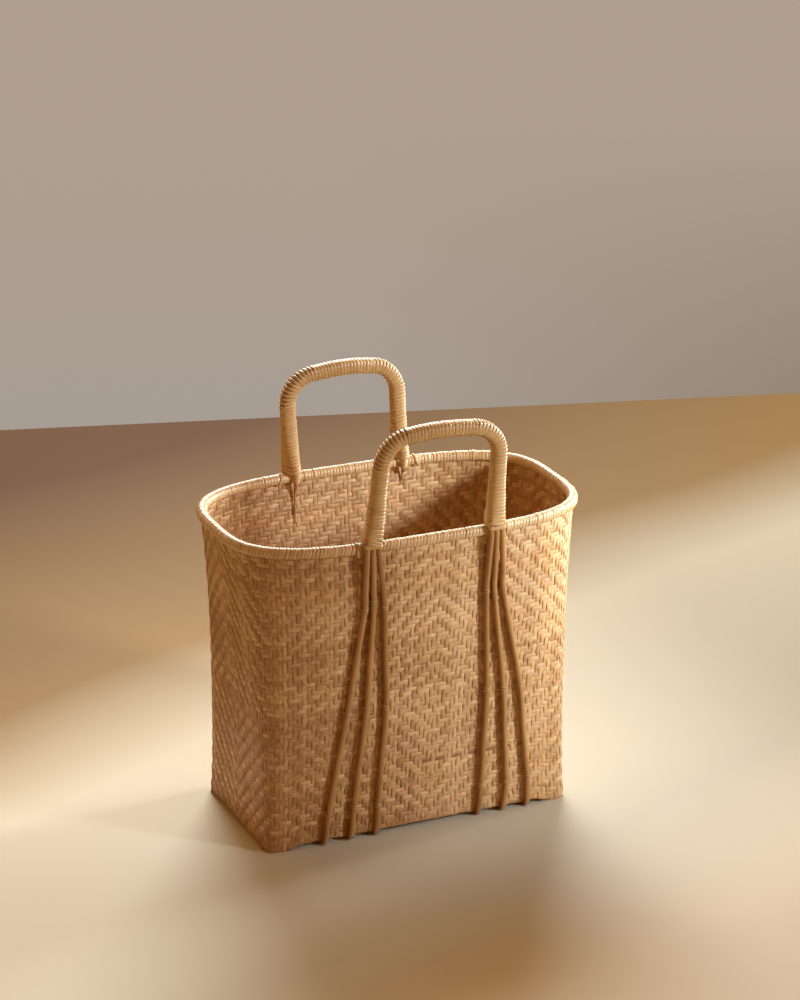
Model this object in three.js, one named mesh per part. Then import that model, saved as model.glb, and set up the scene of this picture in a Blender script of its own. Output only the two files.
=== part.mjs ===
// Woven bamboo shopping basket: one shell, a bound rim and two bound cane handles.
// Millimetres, +Z up, +X along the long side, the front at -Y.
// The origin is at the bottom centre, on the ground.
import * as THREE from 'three';

// Body
const baseHalfLength = 153;
const baseHalfWidth = 77.5;
const wallTop = 294.4;
const rimZone = 8.4;
const wallThickness = 2.4;
const floorThickness = 3;
const endFlare = 18;
const sideFlare = 21.5;
const endFlarePower = 3;
const sideFlarePower = 1.4;

// How square the plan outline is: a higher number has sharper corners
const baseSquareness = 16;
const rimSquareness = 3.3;
const footPoint = 34;
const footPointFade = 15;

// Twill of the wall: ridges as high and as far apart as the weave's raised diagonals. Each is two
// ring points wide, and moves on by two points in a span of the wall. The counts are ring points
// from one place where the diagonals turn back to the next: a face's middle, a corner and so on
const twillRelief = 1;
const twillTopRoom = 15.4;
const twillSpans = 15;
const twillMiddleSpan = 7;
const twillHalves = [16, 8, 8, 17, 17, 8, 8, 18];
const twillStart = 1;

// Hollow under the floor, between four flat feet at the corners
const archRoom = 0.7;
const archAlongWidth = 1.5;
const footLength = 18;
const archRamp = 16;

// Rim
const clearance = 0.3;
const hoopThickness = 2.4;
const hoopHeight = 5.6;
const topCaneDiameter = 2.8;
const topCaneSides = 4;
const rimStrip = 0.7;
const rimRidge = 0.35;
const ribsPerStep = 2;
const roofRoom = 1;
const roofSlope = 1.2;

// Handle canes
const caneDiameter = 5.4;
const caneGap = 0.3;
const caneSides = 5;
const caneFlat = 3.4;
const caneRounding = 8;
const underBaseGap = 0.3;
const caneEndGap = 0.5;
const handles = {
  front: { side: -1, halfSpan: 60, middle: 2, rise: 103.4 },
  back: { side: 1, halfSpan: 56.5, middle: 0, rise: 98.4 },
};
const handleCorner = 28;
const handleCrown = 2;
const handleLean = 0.045;
const cornerSteps = 5;
const legRise = 9.1;
const legOffset = 1.35;

// Handle binding and foot wraps
const handleStrip = 0.6;
const handleRidge = 0.4;
const handleTurns = 56;
const bundleChamfer = 1.1;
const wrapTurns = 3;
const wrapPitch = 3;
const wrapWidth = 2.2;
const wrapStrip = 0.7;
const wrapDrop = 3.2;

// Ties and lashings
const tieWidth = 2.2;
const tieStrip = 0.5;
const tieFoot = 1.2;
const tieRoom = 1.2;
const tieShoulder = 1.2;
const lashingWidth = 3;
const lashingStrip = 0.6;
const lashingRoom = 0.5;
const lashingReach = 12.5;
const lashingSlant = 4;
const lashingHem = 0.9;
const lashingTuck = 1.6;
const lashingDrop = 11.4;

// Rows of ties: height, how much higher the middle cane's tie is on the left leg and lower
// on the right, and the places along X of the canes of both legs, from left to right
const tieRows = [
  { name: 'upper', height: wallTop - 59.4, stagger: 8, left: [-65, -56.5, -46], right: [55, 63, 72] },
  { name: 'middle', height: 133, stagger: 2, left: [-78, -59.5, -40], right: [61, 78, 95] },
  { name: 'lower', height: 33, stagger: 2, left: [-94, -69, -45], right: [60, 86, 108] },
];
const feet = { left: [-97, -71.5, -46.5], right: [58, 84, 109] };
const lastShare = 0.64;

// How the canes leave the rim: distance under the wall's top, share of the way to the upper
// tie, and share of their distance off the wall at the rim
const rimToTie = [
  { drop: 3.4, share: 0, lift: 1 },
  { drop: 22.4, share: 0.35, lift: 0.6 },
  { drop: 41.4, share: 0.75, lift: 0.17 },
];

// Bend round the base edge in cane radii: distance out from the edge, height over the lowest
const edgeBend = [[1.07, 1.85], [0.85, 0.52], [-0.19, 0.04], [-2.2, 0]];

// The core's tail inside the wall: distance under the wall's top, share of its distance off
// the wall, share of its full thickness
const coreTail = [
  { drop: 6.4, away: 1, thick: 1 },
  { drop: 18.4, away: 0.53, thick: 0.89 },
  { drop: 31.4, away: 0.19, thick: 0.67 },
  { drop: 44.4, away: 0, thick: 0.44 },
];

// How the four canes of a leg close up from the rim to the grip. At each distance up the leg:
// where the bundle's outline has its shoulder and how wide its back is, then the outer,
// middle and inner cane and the core: place across in cane pitches, share of the way out
const legRows = [
  { up: 0, shoulder: 0.26, back: 0.4, canes: [[1, 1], [0, 1], [-1, 1], [0, 1]] },
  { up: 9, shoulder: 0.32, back: 0.44, canes: [[1.02, 0.81], [0.05, 0.78], [-1, 0.81], [-0.09, 0.79]] },
  { up: 18, shoulder: 0.51, back: 0.54, canes: [[0.95, 0.57], [0.18, 0.41], [-0.88, 0.55], [-0.21, 0.49]] },
  { up: 27, shoulder: 0.68, back: 0.69, canes: [[0.77, 0.33], [0.32, 0.19], [-0.7, 0.33], [-0.46, 0.29]] },
  { up: 37, shoulder: 0.82, back: 0.82, canes: [[0.58, 0.11], [0.47, 0.04], [-0.54, 0.11], [-0.53, 0.09]] },
  { up: 47, shoulder: 0.91, back: 0.81, canes: [[0.5, 0], [0.5, 0], [-0.5, 0], [-0.5, 0]] },
];
const gripSides = [0.5, -0.5, 0.5, -0.5];

// Samples
const quarterSteps = 15;
const outlineSteps = 240;
const innerLevels = [1, 0.86, 0.7, 0.52, 0.17];
const undersideScales = [0.45, 0.78, 0.9, 1];
const floorScale = 0.95;
const bundleCorners = 8;

// Sizes that follow from the ones above
const flareTop = wallTop - rimZone;
const twillSpan = (wallTop - twillTopRoom) / twillSpans;
const twillSteps = twillHalves.reduce((sum, count) => sum + count) / 4;
const caneRadius = caneDiameter / 2;
const canePitch = caneDiameter + caneGap;
const archAlongLength = underBaseGap + caneFlat + archRoom;
const underHeight = underBaseGap + caneFlat / 2;
const floorTop = archAlongLength + archAlongWidth + floorThickness;
const rimInside = -wallThickness - clearance - hoopThickness;
const rimOutside = clearance + hoopThickness;
const rimMiddle = -wallThickness / 2;
const bindingOutside = rimOutside + clearance + rimStrip;
const bindingInside = rimInside - clearance - rimStrip;
const topCaneHeight = wallTop + clearance + topCaneDiameter / 2;
const bindingBottom = wallTop - hoopHeight - rimStrip;
const bindingShoulder = wallTop + roofRoom;
const bindingPeak = wallTop + clearance + topCaneDiameter + roofRoom + rimStrip * roofSlope;
const wrapRadius = caneRadius + 2 * clearance + wrapStrip / 2;
const rimCaneOffset = bindingOutside + rimRidge + clearance + wrapStrip / 2 + wrapRadius;
const rimCoreOffset = bindingInside - rimRidge - clearance - caneRadius;
const legStart = wallTop + legRise;
const onWallOffset = clearance + caneRadius;
const rimLift = rimCaneOffset - onWallOffset;
const tailLift = -rimCoreOffset - wallThickness - clearance - caneRadius;
const caneOut = rimCaneOffset - legOffset;
const coreOut = rimCoreOffset - legOffset;
const footOut = [caneOut, caneOut, caneOut, coreOut];
const caneNames = ['outer', 'middle', 'inner'];
const coreIndex = 3;
const legSigns = { left: -1, right: 1 };
const down = new THREE.Vector3(0, 0, -1);

const finishes = {
  weave: { color: 0xb9985f, roughness: 0.6 },
  cane: { color: 0xc9a56b, roughness: 0.45 },
  strip: { color: 0xd3b67c, roughness: 0.5 },
  tie: { color: 0xc2a067, roughness: 0.55 },
  hoop: { color: 0xb08d55, roughness: 0.5 },
};

const lerp = (a, b, t) => a + (b - a) * t;
const clamp01 = (t) => Math.min(Math.max(t, 0), 1);
const smooth = (t) => clamp01(t) ** 2 * (3 - 2 * clamp01(t));

// Plan outline of the wall at a height
function planAt(height) {
  const rise = clamp01(height / flareTop);
  const squareness = baseSquareness ** (1 - rise) * rimSquareness ** rise;
  return {
    halfLength: baseHalfLength + endFlare * rise ** endFlarePower,
    halfWidth: baseHalfWidth + sideFlare * rise ** sideFlarePower,
    power: squareness + footPoint * Math.exp(-Math.max(height, 0) / footPointFade),
  };
}

// Outward direction of the outline at one of its points
function planNormal(plan, x, y) {
  const nx = Math.sign(x) * Math.abs(x / plan.halfLength) ** (plan.power - 1) / plan.halfLength;
  const ny = Math.sign(y) * Math.abs(y / plan.halfWidth) ** (plan.power - 1) / plan.halfWidth;
  const size = Math.hypot(nx, ny);
  return [nx / size, ny / size];
}

// One quarter of the outline with the length walked, from the middle of a side to an end
function quarterAt(height) {
  const plan = planAt(height);
  const points = [];
  const reach = [0];
  for (let i = 0; i <= outlineSteps; i += 1) {
    const angle = (Math.PI / 2) * (i / outlineSteps);
    const depth = i === outlineSteps ? 0 : Math.cos(angle);
    const x = plan.halfLength * Math.sin(angle) ** (2 / plan.power);
    const y = plan.halfWidth * depth ** (2 / plan.power);
    if (i > 0) {
      const [lastX, lastY] = points[i - 1];
      reach.push(reach[i - 1] + Math.hypot(x - lastX, y - lastY));
    }
    points.push([x, y]);
  }
  return { plan, points, reach };
}

function alongQuarter(quarter, share) {
  const goal = share * quarter.reach[outlineSteps];
  let i = 1;
  while (i < outlineSteps && quarter.reach[i] < goal) {
    i += 1;
  }
  const part = (goal - quarter.reach[i - 1]) / (quarter.reach[i] - quarter.reach[i - 1]);
  const [ax, ay] = quarter.points[i - 1];
  const [bx, by] = quarter.points[i];
  return [lerp(ax, bx, part), lerp(ay, by, part)];
}

// A closed ring of evenly spaced points round the wall, moved out by an offset
function ringAt(height, offset, steps = quarterSteps, start = 0) {
  const quarter = quarterAt(height);
  return Array.from({ length: 4 * steps }, (_, i) => {
    const place = (i + start) % (4 * steps);
    const corner = Math.floor(place / steps);
    const part = (place % steps) / steps;
    const [x, y] = alongQuarter(quarter, corner % 2 === 0 ? part : 1 - part);
    const sx = corner < 2 ? 1 : -1;
    const sy = corner === 0 || corner === 3 ? -1 : 1;
    const [nx, ny] = planNormal(quarter.plan, sx * x, sy * y);
    return new THREE.Vector3(sx * x + nx * offset, sy * y + ny * offset, height);
  });
}

// Plan outline and surface place of the front or back wall at a place along X
function wallSpot(side, x, height) {
  const plan = planAt(height);
  const share = Math.abs(x / plan.halfLength) ** plan.power;
  const y = side * plan.halfWidth * (1 - share) ** (1 / plan.power);
  return { y, normal: planNormal(plan, x, y) };
}

// A point of the front or back wall, moved out by an offset
function onWall(side, x, height, offset) {
  const { y, normal: [nx, ny] } = wallSpot(side, x, height);
  return new THREE.Vector3(x + nx * offset, y + ny * offset, height);
}

// Height of the underside over the ground
function archHeight(x, y) {
  const alongX = smooth((baseHalfLength - footLength - Math.abs(x)) / archRamp);
  const alongY = smooth((baseHalfWidth - footLength - Math.abs(y)) / archRamp);
  return archAlongLength * alongX + archAlongWidth * alongY;
}

// A geometry from points and faces, turned so that its faces point out
function bodyOf(points, faces) {
  let volume = 0;
  for (let f = 0; f < faces.length; f += 3) {
    const [a, b, c] = [points[faces[f]], points[faces[f + 1]], points[faces[f + 2]]];
    volume += a.dot(b.clone().cross(c));
  }
  const geometry = new THREE.BufferGeometry();
  geometry.setFromPoints(points);
  geometry.setIndex(volume < 0 ? faces.slice().reverse() : faces);
  geometry.computeVertexNormals();
  return geometry;
}

function quad(faces, a, b, c, d) {
  faces.push(a, b, c, a, c, d);
}

// How to walk round two rings together: true is a step along the first one, false the second.
// The second may start ahead by a share of a turn
function evenWalk(first, second, lead = 0) {
  const walk = [];
  let i = 0;
  while (walk.length < first + second) {
    const j = walk.length - i;
    const onFirst = j === second || (i < first && (i + 1) / first < (j + 1) / second + lead);
    walk.push(onFirst);
    i += onFirst ? 1 : 0;
  }
  return walk;
}

// A closed body through rings of points; one that is no loop gets a cap on each end ring
function loft(rings, loop = false, walks = []) {
  const starts = [0];
  rings.forEach((ring) => starts.push(starts[starts.length - 1] + ring.length));
  const faces = [];
  const spans = loop ? rings.length : rings.length - 1;
  for (let r = 0; r < spans; r += 1) {
    const next = (r + 1) % rings.length;
    const [first, second] = [rings[r].length, rings[next].length];
    const lower = (i) => starts[r] + (i % first);
    const upper = (j) => starts[next] + (j % second);
    let [i, j] = [0, 0];
    for (const onFirst of walks[r] || evenWalk(first, second)) {
      if (onFirst) {
        faces.push(lower(i), lower(i + 1), upper(j));
        i += 1;
      } else {
        faces.push(lower(i), upper(j + 1), upper(j));
        j += 1;
      }
    }
  }
  if (!loop) {
    const lastStart = starts[rings.length - 1];
    for (let i = 1; i < rings[0].length - 1; i += 1) {
      faces.push(0, i + 1, i);
    }
    for (let i = 1; i < rings[rings.length - 1].length - 1; i += 1) {
      faces.push(lastStart, lastStart + i, lastStart + i + 1);
    }
  }
  return bodyOf(rings.flat(), faces);
}

// A ring of the wall's outside: by turns a point on a ridge and one in a groove
function twillRing(height) {
  const [ridge, groove] = [0, -twillRelief].map((offset) => ringAt(
    height, offset, twillSteps, twillStart));
  return ridge.map((p, i) => (i % 2 === 0 ? p : groove[i]));
}

// How to walk round two twill rings, so that the ridges run on as diagonals. Away from the
// twill's middle height they near the faces' middles
function twillWalk(nearFirst) {
  return twillHalves.flatMap((count, half) => {
    const fan = half % 2 === 0 ? nearFirst : !nearFirst;
    const slants = Array.from({ length: count - 2 }, () => [fan, !fan]).flat();
    return [fan, fan, ...slants, !fan, !fan];
  });
}

// Woven body: underside, wall outside, wall inside and floor
function wovenBody() {
  const rings = undersideScales.map((scale) => (scale < 1 ? ringAt(0, 0) : twillRing(0))
    .map((p) => new THREE.Vector3(p.x * scale, p.y * scale, archHeight(p.x * scale, p.y * scale))));
  const [plain, ridged] = [4 * quarterSteps, 4 * twillSteps];
  const lead = twillStart / ridged;
  const walks = [];
  walks[rings.length - 2] = evenWalk(plain, ridged, lead);
  for (let span = 0; span < twillSpans; span += 1) {
    walks[rings.length - 1] = twillWalk(span >= twillMiddleSpan);
    rings.push(twillRing(twillSpan * (span + 1)));
  }
  walks[rings.length - 1] = evenWalk(ridged, plain, -lead);
  rings.push(ringAt(wallTop, 0), ringAt(wallTop, -wallThickness));
  innerLevels.forEach((level) => rings.push(ringAt(flareTop * level, -wallThickness)));
  rings.push(ringAt(floorTop + floorThickness, -wallThickness));
  rings.push(ringAt(floorTop, -wallThickness)
    .map((p) => new THREE.Vector3(p.x * floorScale, p.y * floorScale, floorTop)));
  return loft(rings, false, walks);
}

// Lines of points round the wall's top, one for each [offset, height] of a section
function linesRound(section) {
  return section.map(([offset, height]) => ringAt(wallTop, offset).map((p) => p.setZ(height)));
}

function band(section) {
  const lines = linesRound(section);
  return loft(lines[0].map((_, i) => lines.map((line) => line[i])), true);
}

function hoop(inside, outside) {
  const bottom = wallTop - hoopHeight;
  return band([[inside, bottom], [outside, bottom], [outside, wallTop], [inside, wallTop]]);
}

function topCane() {
  return band(Array.from({ length: topCaneSides }, (_, i) => {
    const angle = (i / topCaneSides) * 2 * Math.PI;
    return [rimMiddle + (topCaneDiameter / 2) * Math.cos(angle),
      topCaneHeight + (topCaneDiameter / 2) * Math.sin(angle)];
  }));
}

// Outline of the rim binding from its outer foot to its inner foot, grown by an amount
function rimProfile(grow) {
  return [
    [bindingOutside + grow, bindingBottom],
    [bindingOutside + grow, bindingShoulder],
    [rimMiddle, bindingPeak + grow * roofSlope],
    [bindingInside - grow, bindingShoulder],
    [bindingInside - grow, bindingBottom],
  ];
}

// Rim binding: a hood over both hoops and the top cane, its turns shown as ribs
function rimBinding() {
  const [groove, crest, inner] = [0, rimRidge, -rimStrip].map((grow) => linesRound(rimProfile(grow)));
  const count = groove.length;
  const last = count - 1;
  const steps = 4 * quarterSteps;
  const parts = 2 * ribsPerStep;
  const points = [];
  for (let c = 0; c < steps; c += 1) {
    for (let k = 0; k < parts; k += 1) {
      const lines = k % 2 === 0 ? groove : crest;
      lines.forEach((line) => points.push(line[c].clone().lerp(line[(c + 1) % steps], k / parts)));
    }
  }
  for (let c = 0; c < steps; c += 1) {
    inner.forEach((line) => points.push(line[c]));
  }
  const skin = (f, p) => (f % (steps * parts)) * count + p;
  const bore = (c, p) => (steps * parts + (c % steps)) * count + p;
  const faces = [];
  for (let c = 0; c < steps; c += 1) {
    const middle = c * parts + parts / 2;
    for (let p = 0; p < last; p += 1) {
      quad(faces, bore(c, p), bore(c + 1, p), bore(c + 1, p + 1), bore(c, p + 1));
    }
    for (let k = 0; k < parts; k += 1) {
      const f = c * parts + k;
      const near = k < parts / 2 ? c : c + 1;
      for (let p = 0; p < last; p += 1) {
        quad(faces, skin(f, p), skin(f, p + 1), skin(f + 1, p + 1), skin(f + 1, p));
      }
      faces.push(skin(f, 0), skin(f + 1, 0), bore(near, 0));
      faces.push(skin(f + 1, last), skin(f, last), bore(near, last));
    }
    faces.push(skin(middle, 0), bore(c + 1, 0), bore(c, 0));
    faces.push(skin(middle, last), bore(c, last), bore(c + 1, last));
  }
  return bodyOf(points, faces);
}

// Stations of a way get their directions: across and out, square to the way
function framed(side, stations) {
  return stations.map((station, i) => {
    const before = stations[Math.max(i - 1, 0)].at;
    const after = stations[Math.min(i + 1, stations.length - 1)].at;
    const way = after.clone().sub(before).normalize();
    const out = station.out.clone().addScaledVector(way, -station.out.dot(way)).normalize();
    const across = way.clone().cross(out).multiplyScalar(side);
    return { ...station, out, across };
  });
}

function beside(station, [across, out]) {
  return station.at.clone().addScaledVector(station.across, across)
    .addScaledVector(station.out, out);
}

// Places of the outer, middle and inner cane and the core at a row, as [across, out]
function bundleAt(row) {
  return row.canes.map(([across, share], index) => [across * canePitch,
    lerp(gripSides[index] * canePitch, footOut[index], share)]);
}

// Outline of the bundle at a row, grown by an amount
function outlineAt(row, grow) {
  const canes = bundleAt(row);
  const half = Math.max(...canes.map(([across]) => Math.abs(across))) + caneRadius + grow;
  const front = Math.max(...canes.map(([, out]) => out)) + caneRadius + grow;
  const back = Math.min(...canes.map(([, out]) => out)) - caneRadius - grow;
  const shoulder = lerp(front, back, row.shoulder) - grow / 2;
  const backHalf = row.back * half + grow;
  return [
    [-half, front - bundleChamfer], [-half + bundleChamfer, front],
    [half - bundleChamfer, front], [half, front - bundleChamfer],
    [half, shoulder], [backHalf, back], [-backHalf, back], [-half, shoulder],
  ];
}

// Stations of a handle's grip, from the left leg's start over the arch to the right one's
function gripOf({ side, halfSpan, middle, rise }) {
  const top = wallTop + rise;
  const cornerTop = top - handleCrown;
  const fullRow = legRows[legRows.length - 1];
  const half = legRows.map((row) => ({ x: halfSpan, z: legStart + row.up, row }));
  for (let i = 0; i <= cornerSteps; i += 1) {
    const angle = (Math.PI / 2) * (i / cornerSteps);
    half.push({
      x: halfSpan - handleCorner * (1 - Math.cos(angle)),
      z: cornerTop - handleCorner * (1 - Math.sin(angle)),
      row: fullRow,
    });
  }
  const left = half.map((spot) => ({ ...spot, x: middle - spot.x }));
  const right = half.map((spot) => ({ ...spot, x: middle + spot.x })).reverse();
  const spots = [...left, { x: middle, z: top, row: fullRow }, ...right];
  const [from, to] = [-halfSpan, halfSpan].map((reach) => onWall(
    side, middle + reach, wallTop, legOffset).y);
  return framed(side, spots.map(({ x, z, row }) => {
    const across = (x - middle + halfSpan) / (2 * halfSpan);
    const lean = side * handleLean * (z - legStart);
    const at = new THREE.Vector3(x, lerp(from, to, across) + lean, z);
    const { normal: [nx, ny] } = wallSpot(side, x, wallTop);
    const squared = clamp01((z - legStart) / fullRow.up);
    const out = new THREE.Vector3(nx, ny, 0).lerp(new THREE.Vector3(0, side, 0), squared);
    return { at, out, row };
  }));
}

// A cane's way over the grip
function gripWay(grip, index) {
  return grip.map((station) => ({
    at: beside(station, bundleAt(station.row)[index]),
    out: station.out,
    half: [caneRadius, caneRadius],
  }));
}

// A cane's way down the outside of the wall: place along X, height and offset
function wallWay(handle, leg, index) {
  const sign = legSigns[leg];
  const place = sign < 0 ? index : caneNames.length - 1 - index;
  const [across] = legRows[0].canes[index];
  const rimX = handle.middle + sign * (handle.halfSpan + across * canePitch);
  const way = rimToTie.map(({ drop, share, lift }) => ({
    x: lerp(rimX, tieRows[0][leg][place], share),
    height: wallTop - drop,
    offset: onWallOffset + lift * rimLift,
  }));
  tieRows.forEach((row) => {
    way.push({ x: row[leg][place], height: row.height, offset: onWallOffset });
  });
  const lowest = tieRows[tieRows.length - 1];
  way.push({
    x: lerp(lowest[leg][place], feet[leg][place], lastShare),
    height: lowest.height * (1 - lastShare),
    offset: onWallOffset,
  });
  return way;
}

// A cane's way from the rim down the wall, round the base edge and under the floor
function legWay(handle, leg, index) {
  const { side } = handle;
  const outward = new THREE.Vector3(0, side, 0);
  const slanting = outward.clone().add(down);
  const foot = feet[leg][legSigns[leg] < 0 ? index : caneNames.length - 1 - index];
  const stations = wallWay(handle, leg, index).map(({ x, height, offset }) => ({
    at: onWall(side, x, height, offset), out: outward,
  }));
  const under = edgeBend.map(([out, rise]) => [baseHalfWidth + out * caneRadius, rise * caneRadius]);
  under.push([caneEndGap, 0]);
  under.forEach(([reach, rise]) => stations.push({
    at: new THREE.Vector3(foot, side * reach, underHeight + rise), out: slanting,
  }));
  return stations.map((station) => {
    const rounding = smooth((station.at.z - underHeight) / caneRounding);
    return { ...station, half: [caneRadius, lerp(caneFlat / 2, caneRadius, rounding)] };
  });
}

// The core's tail from the rim down the inside of the wall
function tailWay(handle, leg) {
  const { side, halfSpan, middle } = handle;
  return coreTail.map(({ drop, away, thick }) => {
    const offset = -wallThickness - clearance - thick * caneRadius - away * tailLift;
    return {
      at: onWall(side, middle + legSigns[leg] * halfSpan, wallTop - drop, offset),
      out: new THREE.Vector3(0, side, 0),
      half: [(caneRadius * (1 + thick)) / 2, thick * caneRadius],
    };
  });
}

// A cane from one leg over the grip to the other leg
function handleCane(handle, grip, index, wayOf) {
  const [left, right] = ['left', 'right'].map((leg) => wayOf(handle, leg, index));
  const stations = framed(handle.side, [...left.reverse(), ...gripWay(grip, index), ...right]);
  return loft(stations.map((station) => Array.from({ length: caneSides }, (_, i) => {
    const angle = (i / caneSides) * 2 * Math.PI;
    const [wide, thick] = station.half;
    return beside(station, [wide * Math.cos(angle), thick * Math.sin(angle)]);
  })));
}

// A handle's sleeve at a distance along it: its eight corners, grown by an amount
function sleeveAt(grip, reach, along, grow) {
  let i = 1;
  while (i < grip.length - 1 && reach[i] < along) {
    i += 1;
  }
  const part = (along - reach[i - 1]) / (reach[i] - reach[i - 1]);
  const [before, after] = [grip[i - 1], grip[i]].map((station) => outlineAt(station.row, grow)
    .map((pair) => beside(station, pair)));
  return before.map((p, k) => p.lerp(after[k], part));
}

// Handle binding: a sleeve with one unbroken ridge that runs round it like a screw thread
function handleBinding(grip) {
  const reach = [0];
  for (let i = 1; i < grip.length; i += 1) {
    reach.push(reach[i - 1] + grip[i].at.distanceTo(grip[i - 1].at));
  }
  const length = reach[reach.length - 1];
  const turn = bundleCorners;
  const pitch = length / handleTurns;
  const whole = turn * (handleTurns - 1);
  const outside = clearance + handleStrip;
  const points = [];
  const faces = [];
  const addPoint = (along, k, grow) => {
    points.push(sleeveAt(grip, reach, along, grow)[k % turn]);
    return points.length - 1;
  };
  const crest = [];
  for (let m = 0; m <= whole + turn; m += 1) {
    const ramp = Math.min(1, m / turn, (whole + turn - m) / turn);
    crest.push(addPoint((pitch * m) / turn, m, outside + handleRidge * ramp));
  }
  const groove = [];
  for (let m = 0; m <= whole; m += 1) {
    groove.push(addPoint((pitch * m) / turn + pitch / 2, m, outside));
  }
  const start = [crest[0]];
  const end = [crest[whole + turn]];
  for (let k = 1; k < turn; k += 1) {
    start.push(addPoint(0, k, outside));
    end.push(addPoint(length, k, outside));
  }
  for (let m = 0; m < whole; m += 1) {
    quad(faces, crest[m], crest[m + 1], groove[m + 1], groove[m]);
    quad(faces, groove[m], groove[m + 1], crest[m + turn + 1], crest[m + turn]);
  }
  for (let k = 0; k < turn; k += 1) {
    const next = (k + 1) % turn;
    faces.push(start[k], start[next], crest[k + 1]);
    if (k > 0) {
      faces.push(start[k], crest[k + 1], crest[k]);
    }
    if (k < turn - 1) {
      faces.push(crest[whole + k], crest[whole + k + 1], end[next]);
    }
    faces.push(crest[whole + k], end[next], end[k]);
  }
  faces.push(crest[0], groove[0], crest[turn]);
  faces.push(crest[whole], crest[whole + turn], groove[whole]);
  const bore = reach.map((along) => start.map((_, k) => addPoint(along, k, clearance)));
  const rings = [start, ...bore, end];
  for (let r = 0; r + 1 < rings.length; r += 1) {
    for (let k = 0; k < turn; k += 1) {
      const next = (k + 1) % turn;
      quad(faces, rings[r][next], rings[r][k], rings[r + 1][k], rings[r + 1][next]);
    }
  }
  return bodyOf(points, faces);
}

// Four corners of a strip's section
function stripRing(middle, facing, widthWay, thickness, width) {
  return [[1, 1], [1, -1], [-1, -1], [-1, 1]].map(([t, w]) => middle.clone()
    .addScaledVector(facing, (t * thickness) / 2).addScaledVector(widthWay, (w * width) / 2));
}

// A flat strip along points, its width always in one direction
function strap(points, widthWay, thickness, width) {
  return loft(points.map((p, i) => {
    const before = p.clone().sub(points[Math.max(i - 1, 0)]).normalize();
    const after = points[Math.min(i + 1, points.length - 1)].clone().sub(p).normalize();
    const way = before.clone().add(after).normalize();
    const straight = Math.max(before.dot(way), after.dot(way));
    const facing = way.clone().cross(widthWay).normalize();
    return stripRing(p, facing, widthWay, thickness / straight, width);
  }));
}

// One turn round a row of three canes: [across, out] and the direction it faces
function turnOutline() {
  const outline = [];
  for (const end of [1, -1]) {
    for (const degrees of [-90, -45, 0, 45, 90]) {
      const angle = THREE.MathUtils.degToRad(degrees);
      const [across, out] = [end * Math.cos(angle), end * Math.sin(angle)];
      outline.push([end * canePitch + wrapRadius * across, wrapRadius * out, across, out]);
    }
    outline.push([0, end * wrapRadius, 0, end]);
  }
  return outline;
}

// Foot wrap: turns of strip round the three canes where they pass outside the rim
function footWrap(handle, leg) {
  const legX = handle.middle + legSigns[leg] * handle.halfSpan;
  const outline = turnOutline();
  const turn = outline.length;
  const rings = [];
  for (let i = 0; i <= wrapTurns * turn; i += 1) {
    const [across, out, facingX, facingOut] = outline[i % turn];
    const { normal: [nx, ny] } = wallSpot(handle.side, legX + across, wallTop);
    const middle = onWall(handle.side, legX + across, wallTop, rimCaneOffset + out);
    middle.z = wallTop - wrapDrop + (wrapPitch * i) / turn;
    const sideways = new THREE.Vector3(Math.abs(ny), -nx * Math.sign(ny), 0);
    const facing = sideways.multiplyScalar(facingX)
      .add(new THREE.Vector3(nx, ny, 0).multiplyScalar(facingOut)).normalize();
    rings.push(stripRing(middle, facing, down, wrapStrip, wrapWidth));
  }
  const gaps = rings.slice(turn).flatMap((ring, i) => ring
    .flatMap((p) => rings[i].map((q) => p.distanceTo(q))));
  console.log(`foot wrap: least gap to itself ${Math.min(...gaps).toFixed(2)} mm`);
  return loft(rings);
}

// Rim lashing: a strap over the rim beside a leg, slanting away from it on the inside
function rimLashing(handle, leg) {
  const sign = legSigns[leg];
  const x = handle.middle + sign * (handle.halfSpan + lashingReach);
  const gap = lashingRoom + lashingStrip / 2;
  const outside = bindingOutside + rimRidge + gap;
  const inside = bindingInside - rimRidge - gap;
  const way = [
    [outside, bindingBottom + lashingHem, 0],
    [outside, bindingShoulder, 0],
    [rimMiddle, bindingPeak + rimRidge * roofSlope + gap * roofSlope, 0],
    [inside, bindingShoulder, 0],
    [inside, bindingBottom - lashingTuck, 1],
    [-wallThickness - gap, wallTop - lashingDrop, 1],
  ];
  const points = way.map(([offset, height, slant]) => onWall(
    handle.side, x + sign * lashingSlant * slant, height, offset));
  const { normal: [nx, ny] } = wallSpot(handle.side, x, wallTop);
  return strap(points, new THREE.Vector3(-ny, nx, 0), lashingStrip, lashingWidth);
}

// Place along X and offset of a cane at a height on the wall
function caneAt(way, height) {
  const below = way.findIndex((spot) => spot.height <= height);
  const [high, low] = [way[below - 1], way[below]];
  const part = (high.height - height) / (high.height - low.height);
  return { x: lerp(high.x, low.x, part), offset: lerp(high.offset, low.offset, part) };
}

// Cane tie: a strip over one cane, its feet flat on the wall
function caneTie(handle, leg, index, row) {
  const stagger = index === 1 ? legSigns[leg] * row.stagger : 0;
  const height = row.height - stagger;
  const { x, offset } = caneAt(wallWay(handle, leg, index), height);
  const low = clearance + tieStrip / 2;
  const half = [
    [caneRadius + tieRoom + tieFoot, low],
    [caneRadius + tieRoom, tieShoulder],
    [caneRadius + clearance, offset + caneRadius + low],
  ];
  const outline = [...half, ...half.map(([reach, lift]) => [-reach, lift]).reverse()];
  const points = outline.map(([reach, lift]) => onWall(handle.side, x + reach, height, lift));
  return strap(points, down, tieStrip, tieWidth);
}

const basket = new THREE.Group();

function add(name, geometry, finish) {
  const material = new THREE.MeshStandardMaterial({ ...finishes[finish], metalness: 0 });
  const mesh = new THREE.Mesh(geometry, material);
  mesh.name = name;
  basket.add(mesh);
}

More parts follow.
